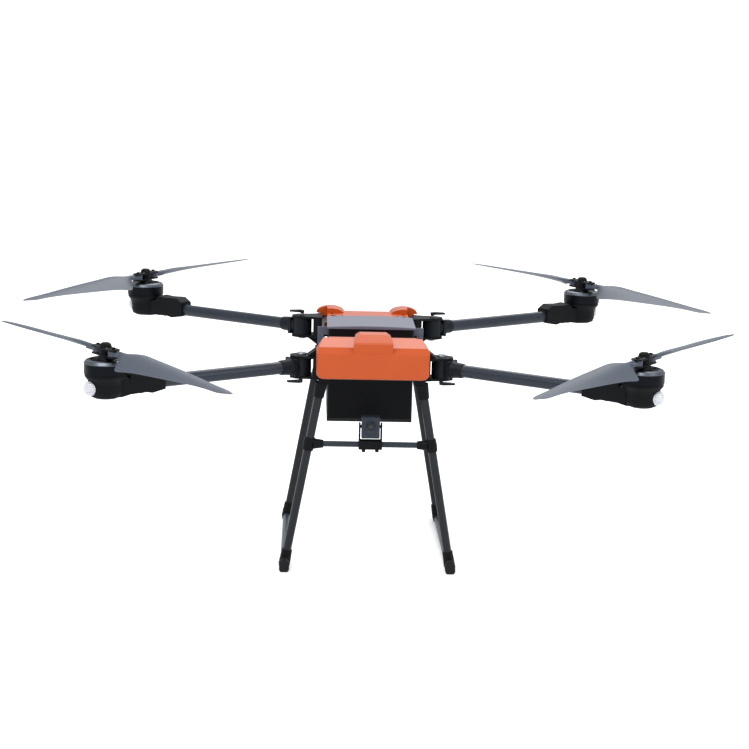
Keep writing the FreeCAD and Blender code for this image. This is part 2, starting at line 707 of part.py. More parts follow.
pad(tank, "YZ_Plane", "-Dim.tank_half_x", "Dim.tank_half_x",
    poly(tank_profile("0", "Dim.tank_neck_top")))
fillet_edges(
    tank, "8",
    lambda edge: along(edge, Z_AXIS) and edge.Length > 100,
)
pocket(tank, "YZ_Plane", "-Dim.tank_half_x + " + WALL, "Dim.tank_half_x - " + WALL,
       poly(tank_profile(WALL, "Dim.tank_neck_top + 1")))
for side_sign in (-1, 1):
    # ledges that rest on the side rails
    low_x = "Dim.tank_half_x - 1" if side_sign > 0 else "-Dim.frame_half_x + 3"
    high_x = "Dim.frame_half_x - 3" if side_sign > 0 else "-Dim.tank_half_x + 1"
    pad(tank, "XY_Plane", FRAME_TOP + " + 0.3", FRAME_TOP + " + 4.3",
        poly(rectangle(low_x, high_x, "-74", "10")))
label(tank, "tank")


LID_LOW = "(Dim.tank_neck_top + 0.4)"
LID_HINGE_Y = "(Dim.tank_neck_rear_y + 8)"
LID_HINGE_Z = "(Dim.tank_neck_top + 2)"


def tank_lid():
    """Crowned lid on the filling neck, with two lugs that swing on the hinge blocks' pins."""
    body = new_body("tank_lid")
    half = "(Dim.tank_half_x + Dim.lid_overhang)"
    rear = "(Dim.tank_neck_rear_y + 1)"
    steps = 6
    crown = [
        ("%s * %s" % (half, share), "%s + Dim.lid_edge + Dim.lid_crown * (1 - %s ^ 2)" % (LID_LOW, share))
        for share in [(steps - step) / steps for step in range(2 * steps + 1)]
    ]
    pad(body, "XZ_Plane", "-" + rear, "Dim.tank_front_y + Dim.lid_overhang",
        poly([("-" + half, LID_LOW), (half, LID_LOW)] + crown))
    fillet_edges(body, "3", lambda edge: edge.BoundBox.YMax < -val("Dim.tank_front_y")
                 and edge.BoundBox.ZMin > val(LID_LOW) + 3)
    for sign in ("", "-"):
        middle = sign + "Dim.lid_lug_x"
        pad(body, "YZ_Plane", middle + " - Dim.lid_lug_half_width", middle + " + Dim.lid_lug_half_width",
            poly([(rear + " - 4", LID_LOW), (rear + " + 0.5", LID_LOW),
                  (LID_HINGE_Y, LID_HINGE_Z + " - 4"),
                  (LID_HINGE_Y + " + 4", LID_HINGE_Z), (LID_HINGE_Y, LID_HINGE_Z + " + 5"),
                  (rear + " - 4", LID_HINGE_Z + " + 5")]))
    pocket(body, "YZ_Plane", "-" + half, half,
           disc("Dim.lid_pin_radius + Dim.hinge_fit", (LID_HINGE_Y, LID_HINGE_Z)))
    return label(body, "tank_lid")


def hinge_blocks():
    """Two forked blocks behind the neck, each with the pin of one lid lug."""
    blocks = []
    for side in (-1, 1):
        block = new_body("lid_hinge_%s" % ("left" if side < 0 else "right"))
        middle = "%d * Dim.lid_lug_x" % side
        fork = "(Dim.lid_lug_half_width + Dim.face_gap)"
        outline_points = [
            ("Dim.tank_neck_rear_y + 0.3", "Dim.tank_shoulder + 0.3"),
            (LID_HINGE_Y + " + 9", "Dim.tank_shoulder + 0.3"),
            (LID_HINGE_Y + " + 6", LID_HINGE_Z + " + 1"), (LID_HINGE_Y + " + 2", LID_HINGE_Z + " + 5"),
            (LID_HINGE_Y + " - 3", LID_HINGE_Z + " + 5"),
            (LID_HINGE_Y + " - 6.6", LID_HINGE_Z + " - 2.2"),
            ("Dim.tank_neck_rear_y + 0.3", LID_HINGE_Z + " - 2.2"),
        ]
        pad(block, "YZ_Plane", "%s - %s - 4" % (middle, fork), "%s + %s + 4" % (middle, fork),
            poly(outline_points))
        pocket(block, "YZ_Plane", "%s - %s" % (middle, fork), "%s + %s" % (middle, fork),
               poly(rectangle("Dim.tank_neck_rear_y - 1", LID_HINGE_Y + " + 12",
                              LID_HINGE_Z + " - 16", LID_HINGE_Z + " + 8")))
        pad(block, "YZ_Plane", "%s - %s - 1" % (middle, fork), "%s + %s + 1" % (middle, fork),
            disc("Dim.lid_pin_radius", (LID_HINGE_Y, LID_HINGE_Z)))
        blocks.append(block)
    return blocks


def side_flanges():
    """Two hooks beside the neck that hold the tank's ledges on the side rails."""
    plates = []
    for side in (-1, 1):
        plate = new_body("tank_flange_%s" % ("left" if side < 0 else "right"))
        sign = "" if side > 0 else "-"
        near = sign + "(Dim.tank_half_x + 0.3)"
        rail_face = sign + "(Dim.frame_half_x + 0.4)"
        outer = sign + "(Dim.frame_half_x + 12)"
        base = FRAME_TOP + " + 4.6"
        top = "Dim.tank_neck_top - 5"
        pad(plate, "XZ_Plane", "72 - Dim.flange_plate", "72",
            poly([(near, base), (rail_face, base), (rail_face, "Dim.mid_height + 16"),
                  (outer, "Dim.mid_height + 16"), (outer, top), (near, top)]))
        foot_end = sign + "(Dim.frame_half_x - 3)"
        pad(plate, "XZ_Plane", "40", "71",
            poly([(near, base), (foot_end, base), (foot_end, base + " + Dim.flange_plate"),
                  (near, base + " + Dim.flange_plate")]))
        plates.append(plate)
    return plates


group("lid_hinges", hinge_blocks())
group("tank_flanges", side_flanges())
tank_lid()

# ---------------------------------------------------------------- battery and its tray


def battery():
    """Smart battery pack with a ribbed face and a pull handle at the rear."""
    body = new_body("battery")
    start = "(Dim.bay_rear_y + 4)"
    end = "(Dim.bay_rear_y + 4 + Dim.battery_length)"
    pad(
        body, "XZ_Plane", "-" + end, "-" + start,
        poly([("-Dim.battery_half_x + 6", "Dim.battery_bottom"),
              ("Dim.battery_half_x - 6", "Dim.battery_bottom"),
              ("Dim.battery_half_x", "Dim.battery_bottom + 6"),
              ("Dim.battery_half_x", "Dim.battery_top - 6"),
              ("Dim.battery_half_x - 6", "Dim.battery_top"),
              ("-Dim.battery_half_x + 6", "Dim.battery_top"),
              ("-Dim.battery_half_x", "Dim.battery_top - 6"),
              ("-Dim.battery_half_x", "Dim.battery_bottom + 6")]),
    )
    # the pull handle: two arms and a cross bar
    arm_low = "(Dim.battery_bottom + Dim.handle_rise)"
    arm_high = "(%s + Dim.handle_bar)" % arm_low
    inner = "(Dim.handle_half_x - Dim.handle_bar)"
    for low, high in (("-Dim.handle_half_x", "-" + inner), (inner, "Dim.handle_half_x")):
        pad(body, "XY_Plane", arm_low, arm_high,
            poly(rectangle(low, high, end + " - 1", end + " + 22")))
    pad(body, "XY_Plane", arm_low, arm_high,
        poly(rectangle("-Dim.handle_half_x", "Dim.handle_half_x", end + " + 20", end + " + 30")))
    return label(body, "battery")


battery()


def battery_tray():
    """Folded sheet tray hung from the side rails, open at the rear."""
    body = new_body("battery_tray")
    inner = "(Dim.battery_half_x + 3)"
    outer = "(Dim.battery_half_x + 3 + Dim.tray_thick)"
    floor = "(Dim.battery_bottom - 0.5)"
    rim = "(Dim.frame_half_x - Dim.rail_thick - 0.3)"
    start = "Dim.bay_rear_y"
    end = "(Dim.bay_rear_y + Dim.battery_length)"
    hang = "(%s + 8)" % FRAME_BOTTOM
    pad(
        body, "XZ_Plane", "-" + end, "-" + start,
        poly([("-" + rim, hang), ("-" + rim, hang + " - Dim.tray_thick"),
              ("-" + outer, hang + " - Dim.tray_thick"), ("-" + outer, floor + " - Dim.tray_thick"),
              (outer, floor + " - Dim.tray_thick"), (outer, hang + " - Dim.tray_thick"),
              (rim, hang + " - Dim.tray_thick"), (rim, hang), (inner, hang), (inner, floor),
              ("-" + inner, floor), ("-" + inner, hang)]),
    )
    return label(body, "battery_tray")


battery_tray()

# ---------------------------------------------------------------- covers

WAIST_Y = "(Dim.cover_front_y - Dim.cover_wide_depth)"


def cover_outline(shoulder, roof):
    """Front view of a cover's outer skin, before its lower corners are rounded."""
    half = [("Dim.cover_half_x", "Dim.cover_bottom"), ("Dim.cover_half_x", shoulder),
            ("Dim.cover_half_x - 5", shoulder + " + 9"), ("Dim.cover_half_x - 16", roof)]
    mirrored = [("-(%s)" % x, z) for x, z in reversed(half)]
    return half + mirrored


def hood(body, back, shoulder, roof):
    """The part that both covers share: a hood with rounded lower corners and a sloping brow."""
    pad(body, "XZ_Plane", back, "Dim.cover_front_y",
        poly(cover_outline(roof + " - 24", roof)))
    fillet_edges(body, "Dim.cover_corner", lambda edge: along(edge, Y_AXIS)
                 and edge.BoundBox.ZMax < val("Dim.cover_bottom") + 1)
    fillet_edges(body, "Dim.cover_edge", lambda edge: edge.BoundBox.YMax < 1 - val("Dim.cover_front_y"))
    # sloping brow from the front face up to the roof
    pocket(body, "YZ_Plane", "-Dim.cover_half_x - 1", "Dim.cover_half_x + 1",
           poly([("-Dim.cover_front_y - 1", shoulder),
                 ("-Dim.cover_front_y + 16", shoulder + " + 14"),
                 ("-%s" % WAIST_Y, roof), ("-%s" % WAIST_Y, roof + " + 20"),
                 ("-Dim.cover_front_y - 1", roof + " + 20")]))


def waist(body, back):
    """Narrow the hood behind its wide front, so that it clears the fold brackets."""
    for sign in (-1, 1):
        low = "%s" % ("Dim.cover_waist" if sign > 0 else "-Dim.cover_half_x - 1")
        high = "%s" % ("Dim.cover_half_x + 1" if sign > 0 else "-Dim.cover_waist")
        pocket(body, "YZ_Plane", low, high,
               poly(rectangle("-%s" % WAIST_Y, "-(%s) + 1" % back, "Dim.cover_bottom - 1",
                              "Dim.cover_roof + 30")))


def hollow(body, back, shoulder):
    """Open the hood underneath and behind, leaving a front wall, sides and roof."""
    wall = "Dim.cover_wall"
    inside = "-Dim.cover_front_y + " + wall
    pocket(body, "YZ_Plane", "-Dim.cover_half_x + " + wall, "Dim.cover_half_x - " + wall,
           poly([(inside, "Dim.cover_bottom - 1"), (inside, shoulder + " - 6"),
                 (inside + " + 5", shoulder + " - 1"), (inside + " + 17", FRAME_TOP + " + 2"),
                 ("-(%s) + 1" % back, FRAME_TOP + " + 2"), ("-(%s) + 1" % back, "Dim.cover_bottom - 1")]))


def front_cover():
    """Orange nose cover with a raised centre block."""
    body = new_body("front_cover")
    back = "(Dim.bay_front_y + 1)"
    hood(body, back, "Dim.cover_shoulder", "Dim.cover_roof")
    waist(body, back)
    # behind the brow only a low apron runs back to the tank
    pocket(body, "YZ_Plane", "-Dim.cover_half_x - 1", "Dim.cover_half_x + 1",
           poly(rectangle("-%s + 12" % WAIST_Y, "-(%s) + 1" % back, FRAME_TOP + " + 2 + Dim.cover_wall",
                          "Dim.cover_top")))
    # the block runs down the brow into the front face
    pad(body, "XY_Plane", "Dim.cover_shoulder - 20", "Dim.cover_top",
        poly([("-Dim.brow_half_x", "-Dim.cover_front_y + 1"), ("Dim.brow_half_x", "-Dim.cover_front_y + 1"),
              ("Dim.brow_half_x - 5", "-%s + 12" % WAIST_Y), ("-Dim.brow_half_x + 5", "-%s + 12" % WAIST_Y)]))
    pocket(body, "YZ_Plane", "-Dim.brow_half_x - 1", "Dim.brow_half_x + 1",
           poly([("-Dim.cover_front_y - 1", "Dim.cover_top - 20"),
                 ("-Dim.cover_front_y + 4", "Dim.cover_top - 14"),
                 ("-Dim.cover_front_y + 34", "Dim.cover_top"),
                 ("-Dim.cover_front_y + 34", "Dim.cover_top + 1"),
                 ("-Dim.cover_front_y - 1", "Dim.cover_top + 1")]))
    for sign in ("", "-"):
        pocket(body, "XZ_Plane", "(%s) - 1" % back, "Dim.cover_front_y + 1",
               poly([(sign + "(Dim.brow_half_x - 16)", "Dim.cover_top + 1"),
                     (sign + "(Dim.brow_half_x + 1)", "Dim.cover_top + 1"),
                     (sign + "(Dim.brow_half_x + 1)", "Dim.cover_top - 10"),
                     (sign + "(Dim.brow_half_x - 8)", "Dim.cover_top - 4")]))
    hollow(body, back, "Dim.cover_shoulder")
    return label(body, "front_cover")


def rear_cover():
    """Orange tail cover with a saddle between two domed lobes, open behind for the battery."""
    body = new_body("rear_cover")
    back = "(Dim.bay_rear_y + 1)"
    shoulder = "(Dim.rear_roof - 24)"
    hood(body, back, shoulder, "Dim.rear_roof")
    centre = "(Dim.cover_half_x - Dim.lobe_half_x)"
    for sign in ("", "-"):
        dome = [
            ("%s(%s + Dim.lobe_half_x * cos(%d))" % (sign, centre, turn),
             "Dim.rear_roof - 6 + Dim.lobe_rise * sin(%d)" % turn)
            for turn in range(0, 181, 15)
        ]
        pad(body, "XZ_Plane", WAIST_Y + " - 40", WAIST_Y + " + 22", poly(dome))
    waist(body, back)
    hollow(body, back, shoulder)
    # battery doorway in the tail wall
    pocket(body, "XZ_Plane", "Dim.cover_front_y - 10", "Dim.cover_front_y + 1",
           poly(rectangle("-Dim.battery_half_x - 4", "Dim.battery_half_x + 4",
                          "Dim.cover_bottom - 1", "Dim.battery_top + 4")))
    place(body, ("0", "0", "0"), (0, 0, 1), "180")
    return label(body, "rear_cover")


front_cover()
rear_cover()

# ---------------------------------------------------------------- landing gear

TOP = [val("Dim.leg_top_x"), val("Dim.leg_top_y"), val("Dim.leg_top_z")]
FOOT = [val("Dim.skid_half_x"), val("Dim.skid_foot_y"), val("Dim.skid_height")]
LEG_RADIUS = "(Dim.leg_od / 2)"


def leg_direction(side, end):
    """Unit vector up one leg, from skid to frame."""
    foot = FreeCAD.Vector(side * FOOT[0], end * FOOT[1], FOOT[2])
    top = FreeCAD.Vector(side * TOP[0], end * TOP[1], TOP[2])
    return foot, (top - foot).normalize(), (top - foot).Length


def on_leg(obj, side, end, height):
    """Stand a piece made about +Z on a leg, a distance up from the skid's axis."""
    foot, direction, _ = leg_direction(side, end)
    obj.Placement = FreeCAD.Placement(
        foot + direction * height, FreeCAD.Rotation(Z_AXIS, direction)
    )
    return obj


def round_tube(name, outer, inner, length):
    """A straight tube about +Z."""
    body = new_body(name)
    pad(body, "XY_Plane", "0", length, disc(outer), disc(inner))
    return body


def cut_by(name, base, tools):
    """One solid less several tools, one after another."""
    for number, tool in enumerate(tools):
        cut = doc.addObject("Part::Cut", "%s_cut_%d" % (name, number))
        cut.Base = base
        cut.Tool = tool
        base = cut
    return base


def leg_bore(name, side, end, start, length):
    """The hole that a leg tube stands in, as a cutting tool."""
    tool = doc.addObject("Part::Cylinder", name)
    tool.setExpression("Radius", LEG_RADIUS + " + Dim.tube_fit")
    tool.Height = length
    return on_leg(tool, side, end, start)


def leg_socket(corner, side, end, run):
    """Tapered socket under a corner of the frame, with its bolted seat."""
    depth = val("Dim.leg_socket_depth")
    taper = doc.addObject("Part::Cone", "leg_taper_" + corner)
    taper.setExpression("Radius1", LEG_RADIUS + " + 2.5")
    taper.setExpression("Radius2", LEG_RADIUS + " + 5")
    taper.setExpression("Height", "Dim.leg_socket_depth + 3")
    on_leg(taper, side, end, run - depth - 7)
    seat = doc.addObject("Part::Box", "leg_seat_" + corner)
    seat.setExpression("Length", "Dim.leg_seat_size")
    seat.setExpression("Width", "Dim.leg_seat_size")
    seat.setExpression("Height", "Dim.leg_seat_height")
    place(seat, ("%d * Dim.leg_seat_x - Dim.leg_seat_size / 2" % side,
                 "%d * Dim.leg_top_y - Dim.leg_seat_size / 2" % end,
                 FRAME_BOTTOM + " - Dim.leg_seat_height - 0.05"))
    fused = doc.addObject("Part::Fuse", "leg_socket_" + corner)
    fused.Base = taper
    fused.Tool = seat
    bore = leg_bore("leg_socket_bore_" + corner, side, end, run - depth - 8, depth + 1)
    return cut_by("leg_socket_" + corner, fused, [bore])


def skid_tee(corner, side, end):
    """Tee that joins a leg to its skid."""
    stem = doc.addObject("Part::Cone", "tee_stem_" + corner)
    stem.setExpression("Radius1", LEG_RADIUS + " + 4")
    stem.setExpression("Radius2", LEG_RADIUS + " + 2.5")
    stem.setExpression("Height", "Dim.tee_stem_length")
    on_leg(stem, side, end, 0)
    sleeve = doc.addObject("Part::Cylinder", "tee_sleeve_" + corner)
    sleeve.setExpression("Radius", "Dim.skid_od / 2 + Dim.tee_wall")
    sleeve.setExpression("Height", "2 * Dim.tee_half_length")
    bore = doc.addObject("Part::Cylinder", "tee_bore_" + corner)
    bore.setExpression("Radius", "Dim.skid_od / 2 + Dim.tube_fit")
    bore.setExpression("Height", "2 * Dim.tee_half_length + 30")
    for piece, extra in ((sleeve, 0), (bore, 15)):
        place(piece, ("%d * Dim.skid_half_x" % side,
                      "%d * Dim.skid_foot_y + Dim.tee_half_length + %d" % (end, extra),
                      "Dim.skid_height"), (1, 0, 0), "90")
    fused = doc.addObject("Part::Fuse", "skid_tee_" + corner)
    fused.Base = stem
    fused.Tool = sleeve
    return cut_by("skid_tee_" + corner, fused,
                  [bore, leg_bore("tee_leg_bore_" + corner, side, end, 13, 30)])


legs, sockets, tees, clamps = [], [], [], []
for corner_name, (side, end) in CORNERS.items():
    _, _, run = leg_direction(side, end)
    leg = round_tube("leg_" + corner_name, LEG_RADIUS, LEG_RADIUS + " - Dim.leg_wall",
                     "%f" % (run - 22))
    legs.append(on_leg(leg, side, end, 14))
    sockets.append(leg_socket(corner_name, side, end, run))
    tees.append(skid_tee(corner_name, side, end))

group("leg_tubes", legs)
group("leg_sockets", sockets)
group("skid_tees", tees)

skids = []
caps = []
for side in (-1, 1):
    skid = new_body("skid_%s" % ("left" if side < 0 else "right"))
    pad(skid, "XZ_Plane", "-Dim.skid_half_length", "Dim.skid_half_length",
        disc("Dim.skid_od / 2"), disc("Dim.skid_od / 2 - Dim.leg_wall"))
    place(skid, ("%d * Dim.skid_half_x" % side, "0", "Dim.skid_height"))
    skids.append(skid)
    for end in (-1, 1):
        foot = new_body("skid_foot_%d_%d" % (side + 1, end + 1))
        pad(foot, "XZ_Plane", "0", "Dim.foot_length",
            poly([("-Dim.foot_flat", "-Dim.skid_height"), ("Dim.foot_flat", "-Dim.skid_height"),
                  ("Dim.foot_half_x", "-7"), ("Dim.foot_half_x", "8"), ("6", "Dim.foot_rise"),
                  ("-6", "Dim.foot_rise"), ("-Dim.foot_half_x", "8"), ("-Dim.foot_half_x", "-7")]))
        pocket(foot, "XZ_Plane", "-1", "Dim.foot_length - 3.5",
               disc("Dim.skid_od / 2 + Dim.tube_fit"))
        place(foot, ("%d * Dim.skid_half_x" % side,
                     "%d * (Dim.skid_half_length + 4 - Dim.foot_length)" % end,
                     "Dim.skid_height"), (0, 0, 1), "0" if end < 0 else "180")
        caps.append(foot)
group("skid_tubes", skids)
group("skid_feet", caps)

# ---------------------------------------------------------------- crossbar and camera

RISE = "((Dim.crossbar_height - Dim.skid_height) / (Dim.leg_top_z - Dim.skid_height))"
BAR_X = "(Dim.skid_half_x + (Dim.leg_top_x - Dim.skid_half_x) * %s)" % RISE
BAR_Y = "(Dim.skid_foot_y + (Dim.leg_top_y - Dim.skid_foot_y) * %s)" % RISE

crossbar = new_body("crossbar")
pad(crossbar, "YZ_Plane", "-%s + 14" % BAR_X, "%s - 14" % BAR_X,
    disc("Dim.crossbar_od / 2"))
place(crossbar, ("0", "-" + BAR_Y, "Dim.crossbar_height"))
label(crossbar, "crossbar")

for side in (-1, 1):
    mark = "left" if side < 0 else "right"
    collar = new_body("crossbar_clamp_" + mark)
    turned(collar, "XZ_Plane",
           [(LEG_RADIUS + " + Dim.tube_fit", "-15"), (LEG_RADIUS + " + 3", "-15"),
            (LEG_RADIUS + " + 4", "0"), (LEG_RADIUS + " + 3", "15"),
            (LEG_RADIUS + " + Dim.tube_fit", "15")])
    _, _, run = leg_direction(side, -1)
    on_leg(collar, side, -1, run * val(RISE))
    boss = doc.addObject("Part::Cone", "crossbar_boss_" + mark)
    boss.setExpression("Radius1", "Dim.boss_root_radius")
    boss.setExpression("Radius2", "Dim.boss_end_radius")
    boss.setExpression("Height", "Dim.boss_length")
    place(boss, ("%d * (%s - 10.5)" % (side, BAR_X), "-" + BAR_Y, "Dim.crossbar_height"),
          (0, 1, 0), "%d" % (-90 * side))
    whole = doc.addObject("Part::Fuse", "crossbar_clamp_fuse_" + mark)
    whole.Base = collar
    whole.Tool = boss
    well = doc.addObject("Part::Cylinder", "crossbar_well_" + mark)
    well.setExpression("Radius", "Dim.crossbar_od / 2 + Dim.tube_fit")
    well.setExpression("Height", "Dim.boss_length + 6")
    place(well, ("%d * (%s - 13.5)" % (side, BAR_X), "-" + BAR_Y, "Dim.crossbar_height"),
          (0, 1, 0), "%d" % (-90 * side))
    through = leg_bore("crossbar_leg_bore_" + mark, side, -1, run * val(RISE) - 25, 50)
    clamps.append(cut_by("crossbar_clamp_" + mark, whole, [well, through]))
group("crossbar_clamps", clamps)

CAM_Z = "(Dim.crossbar_height + Dim.camera_rise)"


def camera_bracket():
    """Saddle clamp round the crossbar with two ears for the camera."""
    body = new_body("camera_bracket")
    outer = "(Dim.camera_ear_x + Dim.camera_ear_thick)"
    pad(body, "YZ_Plane", "-" + outer, outer, poly(rectangle("-14", "14", "-10", "10")))
    ears = (("-" + outer, "-Dim.camera_ear_x"), ("Dim.camera_ear_x", outer))
    for low, high in ears:
        pad(body, "YZ_Plane", low, high,
            poly([("-12", "0"), ("12", "0"), ("9", "Dim.camera_rise + 4"), ("5", "Dim.camera_rise + 9"),
                  ("-5", "Dim.camera_rise + 9"), ("-9", "Dim.camera_rise + 4")]))
    pocket(body, "YZ_Plane", "-%s - 2" % outer, outer + " + 2",
           disc("Dim.crossbar_od / 2 + Dim.tube_fit"))
    for low, high in ears:
        pocket(body, "YZ_Plane", low + " - 0.5", high + " + 0.5",
               disc("Dim.camera_pin_radius + Dim.hinge_fit", ("0", "Dim.camera_rise")))
    for spot in ("-16", "16"):
        pad(body, "XY_Plane", "-16", "-9", disc("4.5", (spot, "-10.5")))
    place(body, ("0", "-" + BAR_Y, "Dim.crossbar_height"))
    return label(body, "camera_bracket")


def camera():
    """Box camera with a lens barrel, swinging on two stub pins."""
    body = new_body("camera")
    half = "(Dim.camera_width / 2)"
    pin_end = "(Dim.camera_ear_x + Dim.camera_ear_thick - 0.2)"
    pad(body, "YZ_Plane", "-" + half, half,
        poly([("-16", "-26"), ("-22", "-20"), ("-22", "22"), ("-18", "26"), ("13", "26"),
              ("17", "22"), ("17", "-20"), ("12", "-26")]))
    pad(body, "YZ_Plane", "-" + pin_end, pin_end, disc("Dim.camera_pin_radius"))
    pad(body, "XZ_Plane", "21", "30", disc("11"))
    place(body, ("0", "-" + BAR_Y, CAM_Z))
    return label(body, "camera")


camera_bracket()
camera()

# ---------------------------------------------------------------- inside the frame


def flight_controller():
    """Avionics box on the front deck, under the nose cover."""
    body = new_body("flight_controller")
    low = FRAME_BOTTOM + " + Dim.plate_thick + 0.2"
    pad(body, "XY_Plane", low, low + " + Dim.controller_height",
        poly(rectangle("-Dim.controller_half_x", "Dim.controller_half_x",
                       "-Dim.controller_front_y", "-Dim.controller_rear_y")))
    fillet_edges(body, "5", lambda edge: along(edge, Z_AXIS))
    return label(body, "flight_controller")


def pump():
    """Diaphragm pump hung under the battery tray, with its outlet spigot."""
    body = new_body("spray_pump")
    top = "Dim.battery_bottom - 0.5 - Dim.tray_thick - 0.3"
    axis = ("0", top + " - Dim.pump_axis_drop")
    pad(body, "XY_Plane", top + " - Dim.pump_height", top,
        poly(rectangle("-Dim.pump_half_x", "Dim.pump_half_x", "Dim.bay_rear_y + 6",
                       "Dim.bay_rear_y + 70")))
    fillet_edges(body, "8", lambda edge: along(edge, Z_AXIS))
    pad(body, "XZ_Plane", "-Dim.bay_rear_y - 118", "-Dim.bay_rear_y - 60",
        disc("Dim.pump_head_radius", axis))
    pad(body, "XZ_Plane", "-Dim.bay_rear_y - 142", "-Dim.bay_rear_y - 110",
        disc("Dim.pump_outlet_radius", axis))
    return label(body, "spray_pump")


flight_controller()
pump()

# ---------------------------------------------------------------- checks and export

doc.recompute()
faults = []
for item in doc.Objects:
    if "Invalid" in item.State or "Error" in item.State:
        faults.append("%s is %s" % (item.Name, item.State))
for item in PARTS:
    if item.Shape.isNull() or not item.Shape.isValid():
        faults.append("%s has no valid shape" % item.Label)
if faults:
    raise RuntimeError("; ".join(faults))

os.makedirs("parts", exist_ok=True)
for item in PARTS:
    item.Shape.exportStep("parts/%s.step" % item.Label)
print(len(PARTS), "sub-parts written")
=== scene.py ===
import json
import math

import bmesh
import bpy
from mathutils import Matrix, Vector


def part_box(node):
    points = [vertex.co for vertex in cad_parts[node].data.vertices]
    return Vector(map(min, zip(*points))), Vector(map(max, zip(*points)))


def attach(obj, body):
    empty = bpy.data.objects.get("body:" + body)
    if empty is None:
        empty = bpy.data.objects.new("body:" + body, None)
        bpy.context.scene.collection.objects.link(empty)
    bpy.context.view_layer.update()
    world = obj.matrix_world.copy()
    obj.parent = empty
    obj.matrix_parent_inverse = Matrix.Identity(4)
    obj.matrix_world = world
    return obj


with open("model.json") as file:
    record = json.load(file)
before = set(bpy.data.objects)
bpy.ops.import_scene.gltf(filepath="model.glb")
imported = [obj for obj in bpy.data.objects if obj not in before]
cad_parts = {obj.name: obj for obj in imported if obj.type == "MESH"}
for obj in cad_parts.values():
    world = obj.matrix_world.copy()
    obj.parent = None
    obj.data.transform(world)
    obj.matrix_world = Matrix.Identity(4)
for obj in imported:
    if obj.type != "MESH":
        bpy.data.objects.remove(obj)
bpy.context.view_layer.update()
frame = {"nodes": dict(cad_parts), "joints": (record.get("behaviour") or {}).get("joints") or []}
nodes = frame["nodes"]
CORNERS = {"fl": (-1, -1), "fr": (1, -1), "rl": (-1, 1), "rr": (1, 1)}

# ---------------------------------------------------------------- camera
# A long lens 4.5 m away and 1.3 m up, a little left of the nose, rolled slightly.

yaw = math.radians(-2.16)
tilt = math.radians(11.12)
roll = math.radians(1.43)
distance = 4.4956
aim = Vector((0.0150, 0.0, 0.4415))
back = Vector((math.sin(yaw) * math.cos(tilt), -math.cos(yaw) * math.cos(tilt), math.sin(tilt)))
level = Vector((math.cos(yaw), math.sin(yaw), 0.0))
upright = back.cross(level)
right = level * math.cos(roll) + upright * math.sin(roll)
top = upright * math.cos(roll) - level * math.sin(roll)
lens = bpy.data.cameras.new("studio_camera")
lens.sensor_width = 36.0
lens.lens = 86.28
lens.clip_end = 60.0
camera = bpy.data.objects.new("studio_camera", lens)
bpy.context.scene.collection.objects.link(camera)
turn = Matrix((right, top, back)).transposed().to_4x4()
camera.matrix_world = Matrix.Translation(aim + back * distance) @ turn
bpy.context.scene.camera = camera
bpy.context.scene.view_settings.view_transform = "Standard"

# ---------------------------------------------------------------- nose and tail covers
# Two shells of orange ABS, thermoformed over a mould and screwed down on the frame.
# The sheet has a fine orange-peel skin, a soft gloss, and a faintly cloudy colour.


MIX_SHADE, MIX_PALE, MIX_RESULT = 6, 7, 2  # colour sockets of a Mix node


def linear(shade):
    """A #rrggbb colour as the linear values that a shader takes."""
    parts = [int(shade[start:start + 2], 16) / 255 for start in (1, 3, 5)]
    curve = [part / 12.92 if part <= 0.04045 else ((part + 0.055) / 1.055) ** 2.4 for part in parts]
    return (*curve, 1.0)


def add_node(tree, kind, settings=(), links=()):
    """Add one node: settings are attributes or input values by name, links are inputs by name."""
    made = tree.nodes.new(kind)
    for key, value in dict(settings).items():
        if isinstance(key, str) and hasattr(made, key):
            setattr(made, key, value)
        else:
            made.inputs[key].default_value = value
    for key, socket in dict(links).items():
        tree.links.new(socket, made.inputs[key])
    return made


def start_finish(name, roughness, metallic=0.0, level=0.5):
    """A new material: its tree, its shader and its object coordinates."""
    finish = bpy.data.materials.new(name)
    finish.use_nodes = True
    tree = finish.node_tree
    shader = tree.nodes["Principled BSDF"]
    shader.inputs["Roughness"].default_value = roughness
    shader.inputs["Metallic"].default_value = metallic
    shader.inputs["Specular IOR Level"].default_value = level
    place = add_node(tree, "ShaderNodeTexCoord").outputs["Object"]
    return finish, tree, shader, place


def moulded(name, shade, pale, grain_mm, roughness, spread, bump, level=0.5, coat=0.0):
    """A moulded or cast skin: cloudy two-tone colour, grain, and uneven gloss."""
    finish, tree, shader, place = start_finish(name, roughness, 0.0, level)
    shader.inputs["Coat Weight"].default_value = coat
    shader.inputs["Coat Roughness"].default_value = 0.18
    # Clouds about 70 mm across; the grain is in millimetres.
    cloud = add_node(tree, "ShaderNodeTexNoise", {"Scale": 14.0, "Detail": 4.0}, {"Vector": place})
    tone = add_node(tree, "ShaderNodeMix", {"data_type": "RGBA"}, {"Factor": cloud.outputs["Fac"]})
    tone.inputs[MIX_SHADE].default_value = linear(shade)
    tone.inputs[MIX_PALE].default_value = linear(pale)
    tree.links.new(tone.outputs[MIX_RESULT], shader.inputs["Base Color"])
    grain = add_node(
        tree, "ShaderNodeTexNoise", {"Scale": 1000.0 / grain_mm, "Detail": 2.0}, {"Vector": place}
    )
    gloss = add_node(
        tree, "ShaderNodeMapRange",
        {"To Min": roughness - spread, "To Max": roughness + spread}, {"Value": cloud.outputs["Fac"]},
    )
    tree.links.new(gloss.outputs["Result"], shader.inputs["Roughness"])
    relief = add_node(
        tree, "ShaderNodeBump", {"Strength": bump, "Distance": 0.0004}, {"Height": grain.outputs["Fac"]}
    )
    tree.links.new(relief.outputs["Normal"], shader.inputs["Normal"])
    return finish


def paint(node, finish):
    """Give every material slot of a frame node one finish."""
    for slot in nodes[node].material_slots:
        slot.material = finish


